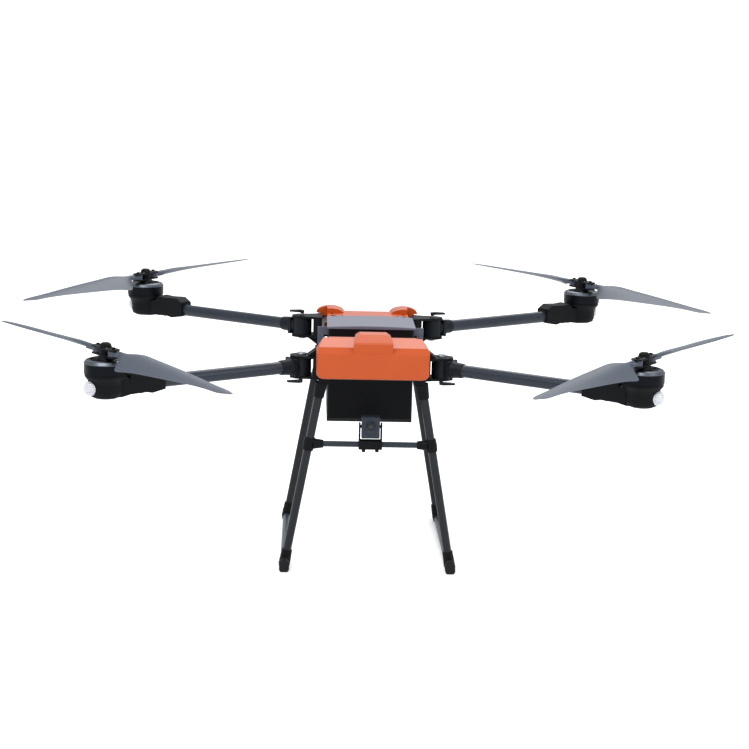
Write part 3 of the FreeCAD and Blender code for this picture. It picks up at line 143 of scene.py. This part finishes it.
orange = moulded("orange_abs_shell", "#ae4203", "#b84a08", 1.6, 0.38, 0.05, 0.10, 0.35, 0.12)
for cover in ("front_cover", "rear_cover"):
    paint(cover, orange)

# ---------------------------------------------------------------- screws
# Socket-head cap screws of stainless or blackened steel, turned, with a hexagon socket.
# They hold the covers, motor mounts, propeller hubs and skid tees.


def screw_tree():
    """A node tree that stands a socket-head screw on each point, along its facing."""
    tree = bpy.data.node_groups.new("socket_head_screws", "GeometryNodeTree")
    face = tree.interface
    face.new_socket("Geometry", in_out="INPUT", socket_type="NodeSocketGeometry")
    face.new_socket("Head radius", in_out="INPUT", socket_type="NodeSocketFloat")
    face.new_socket("Head height", in_out="INPUT", socket_type="NodeSocketFloat")
    face.new_socket("Finish", in_out="INPUT", socket_type="NodeSocketMaterial")
    face.new_socket("Geometry", in_out="OUTPUT", socket_type="NodeSocketGeometry")
    entry = add_node(tree, "NodeGroupInput")
    radius = entry.outputs["Head radius"]
    height = entry.outputs["Head height"]
    head = add_node(
        tree, "GeometryNodeMeshCylinder", {"Vertices": 28}, {"Radius": radius, "Depth": height}
    )
    crown_radius = add_node(tree, "ShaderNodeMath", {"operation": "MULTIPLY", 1: 0.86}, {0: radius})
    crown_depth = add_node(tree, "ShaderNodeMath", {"operation": "MULTIPLY", 1: 1.24}, {0: height})
    crown = add_node(
        tree, "GeometryNodeMeshCylinder", {"Vertices": 28},
        {"Radius": crown_radius.outputs[0], "Depth": crown_depth.outputs[0]},
    )
    key_radius = add_node(tree, "ShaderNodeMath", {"operation": "MULTIPLY", 1: 0.52}, {0: radius})
    socket = add_node(
        tree, "GeometryNodeMeshCylinder", {"Vertices": 6},
        {"Radius": key_radius.outputs[0], "Depth": height},
    )
    raised = add_node(tree, "GeometryNodeTransform", {}, {"Geometry": socket.outputs["Mesh"]})
    half = add_node(tree, "ShaderNodeMath", {"operation": "MULTIPLY", 1: 0.55}, {0: height})
    lift = add_node(tree, "ShaderNodeCombineXYZ", {}, {"Z": half.outputs[0]})
    tree.links.new(lift.outputs[0], raised.inputs["Translation"])
    bulk = add_node(tree, "GeometryNodeMeshBoolean", {"operation": "UNION"})
    tree.links.new(head.outputs["Mesh"], bulk.inputs["Mesh 2"])
    tree.links.new(crown.outputs["Mesh"], bulk.inputs["Mesh 2"])
    drilled = add_node(tree, "GeometryNodeMeshBoolean", {"operation": "DIFFERENCE"})
    tree.links.new(bulk.outputs["Mesh"], drilled.inputs["Mesh 1"])
    tree.links.new(raised.outputs["Geometry"], drilled.inputs["Mesh 2"])
    facing = add_node(
        tree, "GeometryNodeInputNamedAttribute", {"data_type": "FLOAT_VECTOR", "Name": "facing"}
    )
    turned = add_node(
        tree, "FunctionNodeAlignRotationToVector", {"axis": "Z"}, {"Vector": facing.outputs["Attribute"]}
    )
    points = add_node(tree, "GeometryNodeMeshToPoints", {}, {"Mesh": entry.outputs["Geometry"]})
    stood = add_node(
        tree, "GeometryNodeInstanceOnPoints", {},
        {"Points": points.outputs["Points"], "Instance": drilled.outputs["Mesh"],
         "Rotation": turned.outputs["Rotation"]},
    )
    real = add_node(tree, "GeometryNodeRealizeInstances", {}, {"Geometry": stood.outputs["Instances"]})
    dressed = add_node(
        tree, "GeometryNodeSetMaterial", {},
        {"Geometry": real.outputs["Geometry"], "Material": entry.outputs["Finish"]},
    )
    add_node(tree, "NodeGroupOutput", {}, {"Geometry": dressed.outputs["Geometry"]})
    return tree


def bright_metal(name, shade, roughness, grit_mm, metallic=1.0):
    """Turned or plated metal with a fine tool texture."""
    finish, tree, shader, place = start_finish(name, roughness, metallic)
    shader.inputs["Base Color"].default_value = linear(shade)
    grit = add_node(
        tree, "ShaderNodeTexNoise", {"Scale": 1000.0 / grit_mm, "Detail": 3.0}, {"Vector": place}
    )
    gloss = add_node(
        tree, "ShaderNodeMapRange", {"To Min": roughness - 0.08, "To Max": roughness + 0.1},
        {"Value": grit.outputs["Fac"]},
    )
    tree.links.new(gloss.outputs["Result"], shader.inputs["Roughness"])
    return finish


steel = bright_metal("stainless_screw_steel", "#8f9296", 0.34, 0.5)
black_steel = bright_metal("blackened_screw_steel", "#26282b", 0.42, 0.5)
screws_of = screw_tree()


def evaluated_mesh(holder, name):
    """The holder's mesh after its modifiers, as a new plain object."""
    ready = holder.evaluated_get(bpy.context.evaluated_depsgraph_get())
    mesh = bpy.data.meshes.new_from_object(ready)
    mesh.name = name
    piece = bpy.data.objects.new(name, mesh)
    bpy.context.scene.collection.objects.link(piece)
    bpy.data.objects.remove(holder)
    return piece


def screws(name, body, slot, spots, radius, height, finish):
    """One piece holding all the screws of a kind on one body; spots are (place, facing)."""
    mesh = bpy.data.meshes.new(name + "_points")
    mesh.from_pydata([place for place, _ in spots], [], [])
    facing = mesh.attributes.new("facing", "FLOAT_VECTOR", "POINT")
    facing.data.foreach_set("vector", [value for _, way in spots for value in way])
    holder = bpy.data.objects.new(name + "_holder", mesh)
    bpy.context.scene.collection.objects.link(holder)
    grow = holder.modifiers.new("screws", "NODES")
    grow.node_group = screws_of
    sockets = screws_of.interface.items_tree
    ids = {item.name: item.identifier for item in sockets if item.in_out == "INPUT"}
    grow[ids["Head radius"]] = radius
    grow[ids["Head height"]] = height
    grow[ids["Finish"]] = finish
    piece = evaluated_mesh(holder, name)
    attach(piece, body)
    return piece


front_back_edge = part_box("front_cover")[1][1]
rear_front_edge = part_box("rear_cover")[0][1]
apron_top = 0.5535
rear_roof = 0.564
cover_screw_x = 0.092
cover_head = (0.0034, 0.0018)
screws(
    "front_cover_screws", "frame", "anodised",
    [((side * cover_screw_x, front_back_edge - inset, apron_top), (0, 0, 1))
     for side in (-1, 1) for inset in (0.014, 0.086)],
    *cover_head, black_steel,
)
screws(
    "rear_cover_screws", "frame", "anodised",
    [((side * cover_screw_x, rear_front_edge + inset, rear_roof), (0, 0, 1))
     for side in (-1, 1) for inset in (0.014, 0.045)],
    *cover_head, black_steel,
)

# ---------------------------------------------------------------- arm and leg tubes
# Roll-wrapped carbon tube with a 3K twill outer ply under clear satin resin.
# A tow is 2 mm wide, and each passes over two and under two, stepping round the tube.


TOW = 0.002


def twill(tree, crosswise, lengthwise):
    """1 where a tow lies on top in a two-over-two twill and 0 elsewhere; the inputs count tows."""
    steps = [
        add_node(tree, "ShaderNodeMath", {"operation": "FLOOR"}, {0: count})
        for count in (crosswise, lengthwise)
    ]
    total = add_node(
        tree, "ShaderNodeMath", {"operation": "ADD"}, {0: steps[0].outputs[0], 1: steps[1].outputs[0]}
    )
    cycle = add_node(
        tree, "ShaderNodeMath", {"operation": "FLOORED_MODULO", 1: 4.0}, {0: total.outputs[0]}
    )
    top = add_node(tree, "ShaderNodeMath", {"operation": "LESS_THAN", 1: 1.5}, {0: cycle.outputs[0]})
    return top.outputs[0]


def carbon(name, start, way, radius, folded, shade="#151a21", pale="#262d37"):
    """Twill carbon: tows run along the given axis and round it; folded mirrors X and Y first."""
    finish, tree, shader, place = start_finish(name, 0.36, 0.0, 0.26)
    shader.inputs["Coat Weight"].default_value = 0.10
    shader.inputs["Coat Roughness"].default_value = 0.22
    if folded:
        quarter = add_node(tree, "ShaderNodeVectorMath", {"operation": "ABSOLUTE"}, {0: place})
        place = quarter.outputs["Vector"]
    moved = add_node(tree, "ShaderNodeVectorMath", {"operation": "SUBTRACT", 1: tuple(start)}, {0: place})
    spin = Vector(way).rotation_difference(Vector((1, 0, 0))).to_euler()
    turned = add_node(
        tree, "ShaderNodeMapping", {"Rotation": tuple(spin)}, {"Vector": moved.outputs["Vector"]}
    )
    axes = add_node(tree, "ShaderNodeSeparateXYZ", {}, {0: turned.outputs["Vector"]})
    round_angle = add_node(
        tree, "ShaderNodeMath", {"operation": "ARCTAN2"}, {0: axes.outputs["Y"], 1: axes.outputs["Z"]}
    )
    around = add_node(
        tree, "ShaderNodeMath", {"operation": "MULTIPLY", 1: radius / TOW}, {0: round_angle.outputs[0]}
    )
    lengthwise = add_node(tree, "ShaderNodeMath", {"operation": "DIVIDE", 1: TOW}, {0: axes.outputs["X"]})
    over = twill(tree, around.outputs[0], lengthwise.outputs[0])
    haze = add_node(tree, "ShaderNodeTexNoise", {"Scale": 9.0, "Detail": 3.0}, {"Vector": place})
    mixed = add_node(
        tree, "ShaderNodeMath", {"operation": "MULTIPLY_ADD", 1: 0.55},
        {0: over, 2: haze.outputs["Fac"]},
    )
    tone = add_node(
        tree, "ShaderNodeMix", {"data_type": "RGBA", "clamp_factor": True}, {"Factor": mixed.outputs[0]}
    )
    tone.inputs[MIX_SHADE].default_value = linear(shade)
    tone.inputs[MIX_PALE].default_value = linear(pale)
    tree.links.new(tone.outputs[MIX_RESULT], shader.inputs["Base Color"])
    sheen = add_node(
        tree, "ShaderNodeMapRange", {"To Min": 0.30, "To Max": 0.42}, {"Value": over}
    )
    tree.links.new(sheen.outputs["Result"], shader.inputs["Roughness"])
    relief = add_node(
        tree, "ShaderNodeBump", {"Strength": 0.12, "Distance": 0.0002}, {"Height": over}
    )
    tree.links.new(relief.outputs["Normal"], shader.inputs["Normal"])
    return finish


joint_of = {joint["name"]: joint for joint in frame["joints"]}
sweep = math.radians(33.8)
arm_radius, leg_radius, bar_radius = 0.015, 0.010, 0.007
for corner, (side, end) in CORNERS.items():
    hinge = Vector(joint_of["arm_fold_" + corner]["pos_m"])
    outward = Vector((side * math.cos(sweep), end * math.sin(sweep), 0))
    paint("arm_tube_" + corner, carbon("carbon_arm_tube_" + corner, hinge, outward, arm_radius, False))

skid_x, tee_y, skid_z = 0.201, 0.215, 0.0135
leg_foot = Vector((skid_x, tee_y, skid_z))
leg_top = Vector((0.1184, 0.243, 0.472))
leg_way = (leg_top - leg_foot).normalized()
# Darker shades than the arm tubes: painted shade on the leg tubes.
paint("leg_tubes", carbon("carbon_leg_tubes_painted_shade", leg_foot, leg_way, leg_radius, True, "#0b0d10", "#14181d"))
# Paler, bluer shades than the arm tubes: a painted highlight of the sky on the skid tubes.
paint("skid_tubes", carbon(
    "carbon_skid_tubes_painted_highlight", (skid_x, 0, skid_z), (0, 1, 0), leg_radius, True, "#1d2229", "#303741"
))
bar_low, bar_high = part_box("crossbar")
bar_y = (bar_low[1] + bar_high[1]) / 2
bar_z = (bar_low[2] + bar_high[2]) / 2
paint("crossbar", carbon("carbon_crossbar", (0, bar_y, bar_z), (1, 0, 0), bar_radius, False))

# ---------------------------------------------------------------- frame plates and rails
# Deck plates milled from 3 mm carbon sheet between two black anodised aluminium side rails.
# The plates show the flat twill of the sheet, and the rails a fine bead-blasted skin.


def carbon_sheet():
    """Flat twill sheet, with the weave seen from above."""
    finish, tree, shader, place = start_finish("carbon_sheet", 0.38)
    axes = add_node(tree, "ShaderNodeSeparateXYZ", {}, {0: place})
    across, along = (
        add_node(tree, "ShaderNodeMath", {"operation": "DIVIDE", 1: TOW}, {0: axes.outputs[axis]})
        for axis in ("X", "Y")
    )
    over = twill(tree, across.outputs[0], along.outputs[0])
    tone = add_node(tree, "ShaderNodeMix", {"data_type": "RGBA"}, {"Factor": over})
    tone.inputs[MIX_SHADE].default_value = linear("#1d2024")
    tone.inputs[MIX_PALE].default_value = linear("#30353c")
    tree.links.new(tone.outputs[MIX_RESULT], shader.inputs["Base Color"])
    return finish


paint("frame_plates", carbon_sheet())
anodised = bright_metal("black_anodised_aluminium", "#2b2d31", 0.45, 0.4)
paint("side_rails", anodised)
paint("battery_tray", anodised)

# ---------------------------------------------------------------- castings and mouldings
# Fold brackets, arm knuckles, motor mounts, leg sockets and tees: glass-filled nylon, moulded
# black in a spark-eroded tool, so the skin is even, dull and slightly cloudy.

nylon = moulded("glass_filled_nylon", "#07080a", "#0e0f12", 0.9, 0.54, 0.06, 0.18, 0.12)
joint_nylon = moulded("glass_filled_nylon_joint", "#0b0e12", "#141920", 0.9, 0.48, 0.06, 0.16, 0.16)
for node in ("arm_brackets", "leg_sockets", "skid_tees", "crossbar_clamps", "camera_bracket", "lid_hinges"):
    paint(node, nylon)
for corner in CORNERS:
    paint("arm_joint_" + corner, joint_nylon)
    paint("motor_mount_" + corner, nylon)
    paint("prop_hub_" + corner, nylon)
    paint("fold_lever_" + corner, anodised)
paint("hinge_pins", steel)

boom_depth = 0.0188
cup_screw_ring = 0.016
for corner, (side, end) in CORNERS.items():
    axis = Vector(joint_of["prop_spin_" + corner]["pos_m"])
    tube = joint_of["arm_fold_" + corner]["pos_m"][2]
    inward = Vector((-side * math.cos(sweep), -end * math.sin(sweep), 0))
    across = Vector((-inward.y, inward.x, 0))
    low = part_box("motor_mount_" + corner)[0][2]
    cup = Vector((axis.x, axis.y, low))
    boom = Vector((axis.x, axis.y, tube - boom_depth))
    under = [
        (cup + (inward * math.cos(turn) + across * math.sin(turn)) * cup_screw_ring, (0, 0, -1))
        for turn in (math.radians(45 + 90 * step) for step in range(4))
    ]
    under += [
        (boom + inward * reach + across * shift, (0, 0, -1))
        for reach in (0.060, 0.080) for shift in (-0.015, 0.015)
    ]
    screws("mount_screws_" + corner, "arm_" + corner, "anodised", under, 0.0030, 0.0022, steel)

# ---------------------------------------------------------------- motors
# Outrunner motors: black anodised aluminium bell with a crown ring on top, coloured paler than the bell.
# The crown's paleness is a painted highlight for the pale crescent where the bell top catches the sky; its
# bevel also reflects the real sky.

bell_black = bright_metal("anodised_motor_bell", "#1b1d21", 0.40, 0.6)
# Paler than the bell: a painted highlight on the crown, added to its real reflection of the sky.
highlight_crown_metal = bright_metal("crown_metal_with_painted_highlight", "#5d6168", 0.34, 0.35)


def lathe(name, centre, profile, sides, finish):
    """A closed ring or cap turned from (radius, height) points about a vertical axis."""
    shape = bmesh.new()
    rings = []
    for radius, height in profile:
        rings.append([
            shape.verts.new((
                centre[0] + radius * math.cos(2 * math.pi * step / sides),
                centre[1] + radius * math.sin(2 * math.pi * step / sides),
                centre[2] + height,
            ))
            for step in range(sides)
        ])
    for here, there in zip(rings, rings[1:] + rings[:1]):
        for step in range(sides):
            following = (step + 1) % sides
            shape.faces.new((here[step], here[following], there[following], there[step]))
    bmesh.ops.recalc_face_normals(shape, faces=shape.faces)
    mesh = bpy.data.meshes.new(name)
    shape.to_mesh(mesh)
    shape.free()
    mesh.materials.append(finish)
    for face in mesh.polygons:
        face.use_smooth = True
    mesh.set_sharp_from_angle(angle=math.radians(28))
    piece = bpy.data.objects.new(name, mesh)
    bpy.context.scene.collection.objects.link(piece)
    return piece


bell_radius = 0.0485
for corner in CORNERS:
    paint("motor_bell_" + corner, bell_black)
    bell_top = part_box("motor_bell_" + corner)[1][2]
    axis = joint_of["prop_spin_" + corner]["pos_m"]
    # A pale ring turned onto each bell top, standing in for the highlight there.
    crown = lathe(
        "bell_crown_painted_highlight_" + corner, (axis[0], axis[1], bell_top),
        [(bell_radius - 0.0105, 0.0006), (bell_radius - 0.0101, 0.0007), (bell_radius - 0.0040, -0.0014),
         (bell_radius + 0.0004, -0.0068), (bell_radius + 0.0004, -0.0082), (bell_radius - 0.0020, -0.0082),
         (bell_radius - 0.0060, -0.0030), (bell_radius - 0.0110, -0.0008)],
        72, highlight_crown_metal,
    )
    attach(crown, "rotor_" + corner)

# ---------------------------------------------------------------- propellers
# Folding blades moulded from carbon-filled nylon, with a faint lengthwise flow pattern and a
# satin slate-blue bloom; the hub plates are clamped with socket-head screws.


def blade_nylon():
    """Carbon-filled nylon of the blades."""
    finish, tree, shader, place = start_finish("carbon_filled_blade_nylon", 0.42, 0.0, 0.36)
    cloud = add_node(tree, "ShaderNodeTexNoise", {"Scale": 6.0, "Detail": 5.0}, {"Vector": place})
    fleck = add_node(tree, "ShaderNodeTexNoise", {"Scale": 450.0, "Detail": 2.0}, {"Vector": place})
    shares = add_node(
        tree, "ShaderNodeMath", {"operation": "MULTIPLY_ADD", 1: 0.3},
        {0: fleck.outputs["Fac"], 2: cloud.outputs["Fac"]},
    )
    tone = add_node(
        tree, "ShaderNodeMix", {"data_type": "RGBA", "clamp_factor": True}, {"Factor": shares.outputs[0]}
    )
    tone.inputs[MIX_SHADE].default_value = linear("#2f353f")
    tone.inputs[MIX_PALE].default_value = linear("#434b58")
    tree.links.new(tone.outputs[MIX_RESULT], shader.inputs["Base Color"])
    gloss = add_node(
        tree, "ShaderNodeMapRange", {"To Min": 0.34, "To Max": 0.50}, {"Value": cloud.outputs["Fac"]}
    )
    tree.links.new(gloss.outputs["Result"], shader.inputs["Roughness"])
    relief = add_node(
        tree, "ShaderNodeBump", {"Strength": 0.08, "Distance": 0.0003}, {"Height": fleck.outputs["Fac"]}
    )
    tree.links.new(relief.outputs["Normal"], shader.inputs["Normal"])
    return finish


blade_finish = blade_nylon()
BLADE_HEADING = {"fl": -54.0, "fr": 234.0, "rl": 238.5, "rr": -58.5}  # degrees from +X at rest
plate_above_fold = 0.0097
hub_screw_reach, hub_screw_shift = 0.0205, 0.0085
for corner in CORNERS:
    for mark in ("a", "b"):
        paint("blade_%s_%s" % (corner, mark), blade_finish)
    axis = Vector(joint_of["prop_spin_" + corner]["pos_m"])
    plate_top = joint_of["blade_fold_%s_a" % corner]["pos_m"][2] + plate_above_fold
    heading = math.radians(BLADE_HEADING[corner])
    along = Vector((math.cos(heading), math.sin(heading), 0))
    across = Vector((-along.y, along.x, 0))
    spots = [
        (Vector((axis.x, axis.y, plate_top)) + along * reach + across * shift, (0, 0, 1))
        for reach in (-hub_screw_reach, hub_screw_reach) for shift in (-hub_screw_shift, hub_screw_shift)
    ]
    screws("hub_screws_" + corner, "rotor_" + corner, "anodised", spots, 0.0026, 0.0024, steel)

# ---------------------------------------------------------------- lamps
# Navigation lamps: frosted polycarbonate, moulded with fine level prism bands.

frosted, lamp_tree, lamp_shader, lamp_place = start_finish("frosted_polycarbonate", 0.22, 0.0, 0.5)
lamp_shader.inputs["Subsurface Weight"].default_value = 0.25
lamp_shader.inputs["Subsurface Scale"].default_value = 0.004
lamp_shader.inputs["Coat Weight"].default_value = 0.6
prism = add_node(
    lamp_tree, "ShaderNodeTexWave", {"wave_type": "BANDS", "bands_direction": "Z", "Scale": 80.0},
    {"Vector": lamp_place},
)
lamp_tone = add_node(lamp_tree, "ShaderNodeMix", {"data_type": "RGBA"}, {"Factor": prism.outputs["Fac"]})
lamp_tone.inputs[MIX_SHADE].default_value = linear("#b4b7bc")
lamp_tone.inputs[MIX_PALE].default_value = linear("#d9dbde")
lamp_tree.links.new(lamp_tone.outputs[MIX_RESULT], lamp_shader.inputs["Base Color"])
for corner in CORNERS:
    paint("lamp_" + corner, frosted)

# ---------------------------------------------------------------- tank and lid
# Rotationally moulded black polyethylene tank with a waxy, slightly uneven wall, and a crowned
# lid of lavender-grey ABS that swings on two hinge blocks.

tank_wall = moulded("black_polyethylene_tank", "#08090b", "#0f1013", 2.2, 0.52, 0.08, 0.22, 0.12)
lid_abs = moulded("lavender_grey_abs", "#565866", "#636573", 1.2, 0.40, 0.05, 0.10, 0.35, 0.08)
paint("tank", tank_wall)
paint("tank_lid", lid_abs)
paint("tank_flanges", lid_abs)

# ---------------------------------------------------------------- battery, pump and flight box
# Closed boxes moulded in dark glass-filled nylon: the battery case, the spray pump, and the
# flight controller's box. All are dull, with an even spark-eroded grain.

case_nylon = moulded("battery_case_nylon", "#16181b", "#202327", 1.0, 0.50, 0.06, 0.15, 0.35)
for node in ("battery", "spray_pump", "flight_controller"):
    paint(node, case_nylon)

# ---------------------------------------------------------------- camera
# A small slate-blue moulded box camera on the crossbar, with a coated glass lens in a black
# bezel; the glass is nearly black with a sharp highlight.

slate = moulded("slate_camera_shell", "#262b35", "#303641", 1.0, 0.47, 0.05, 0.12, 0.25)
paint("camera", slate)
camera_low, camera_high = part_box("camera")
lens_share = 0.62
lens_y = camera_low[1]
lens_z = camera_low[2] + lens_share * (camera_high[2] - camera_low[2])
bezel_black = moulded("black_lens_bezel", "#0a0b0c", "#121315", 0.6, 0.42, 0.05, 0.1, 0.3)
glass = start_finish("coated_lens_glass", 0.06, 0.0, 0.6)[0]
glass.node_tree.nodes["Principled BSDF"].inputs["Base Color"].default_value = linear("#0b1018")
for part, profile, finish in (
    (
        "lens_bezel",
        [(0.0068, 0.0004), (0.0095, 0.0004), (0.0105, -0.0006), (0.0105, -0.0016), (0.0068, -0.0016)],
        bezel_black,
    ),
    (
        "lens_glass",
        [(0.0004, 0.0002), (0.0040, 0.0000), (0.0066, -0.0008), (0.0066, -0.0018), (0.0004, -0.0018)],
        glass,
    ),
):
    piece = lathe(part, (0, 0, 0), profile, 48, finish)
    forward = Matrix.Rotation(math.radians(90), 4, "X")
    piece.data.transform(Matrix.Translation((0, lens_y, lens_z)) @ forward)
    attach(piece, "camera")

# ---------------------------------------------------------------- feet
# Moulded rubber boots on the skid ends, matt and a little dusty.

rubber = moulded("black_rubber_boot", "#101112", "#1b1c1d", 1.4, 0.78, 0.06, 0.3, 0.25)
paint("skid_feet", rubber)
tee_face_x = 0.2140
screws(
    "tee_screws", "frame", "anodised",
    [((side * tee_face_x, end * tee_y, skid_z), (side, 0, 0)) for side, end in CORNERS.values()],
    0.0026, 0.0016, steel,
)

# ---------------------------------------------------------------- floor and light
# A plain pale studio floor under a bright sky and three soft boxes. The camera sees the floor
# and the sky a little brighter than they light the object, so that no horizon shows.

floor_mesh = bpy.data.meshes.new("studio_floor")
reach = 40.0
floor_mesh.from_pydata(
    [(-reach, -reach, 0), (reach, -reach, 0), (reach, reach, 0), (-reach, reach, 0)], [], [(0, 1, 2, 3)]
)
floor = bpy.data.objects.new("studio_floor", floor_mesh)
bpy.context.scene.collection.objects.link(floor)
pale = bpy.data.materials.new("pale_studio_floor")
pale.use_nodes = True
floor_shader = pale.node_tree.nodes["Principled BSDF"]
floor_shader.inputs["Base Color"].default_value = (0.93, 0.93, 0.93, 1)
floor_shader.inputs["Roughness"].default_value = 0.9
floor_shader.inputs["Specular IOR Level"].default_value = 0.1
floor_shader.inputs["Emission Color"].default_value = (1, 1, 1, 1)
looked_at = add_node(pale.node_tree, "ShaderNodeLightPath").outputs["Is Camera Ray"]
lift = add_node(pale.node_tree, "ShaderNodeMapRange", {"To Min": 0.0, "To Max": 0.3}, {"Value": looked_at})
pale.node_tree.links.new(lift.outputs["Result"], floor_shader.inputs["Emission Strength"])
floor_mesh.materials.append(pale)

world = bpy.data.worlds.new("studio_world")
bpy.context.scene.world = world
world.use_nodes = True
sky = world.node_tree.nodes["Background"]
sky.inputs["Color"].default_value = (0.93, 0.96, 1.0, 1)
seen = add_node(world.node_tree, "ShaderNodeLightPath").outputs["Is Camera Ray"]
glow = add_node(world.node_tree, "ShaderNodeMapRange", {"To Min": 0.85, "To Max": 1.12}, {"Value": seen})
world.node_tree.links.new(glow.outputs["Result"], sky.inputs["Strength"])

for name, place, size, power in (
    ("key", (-1.6, -2.6, 4.8), 3.0, 150),
    ("fill", (3.2, -2.8, 3.2), 3.0, 70),
    ("rim", (0.5, 3.6, 4.2), 3.0, 90),
):
    lamp = bpy.data.lights.new(name, "AREA")
    lamp.size = size
    lamp.energy = power
    holder = bpy.data.objects.new(name, lamp)
    holder.location = place
    holder.rotation_euler = (Vector((0, 0, 0.4)) - Vector(place)).to_track_quat("-Z", "Y").to_euler()
    bpy.context.scene.collection.objects.link(holder)
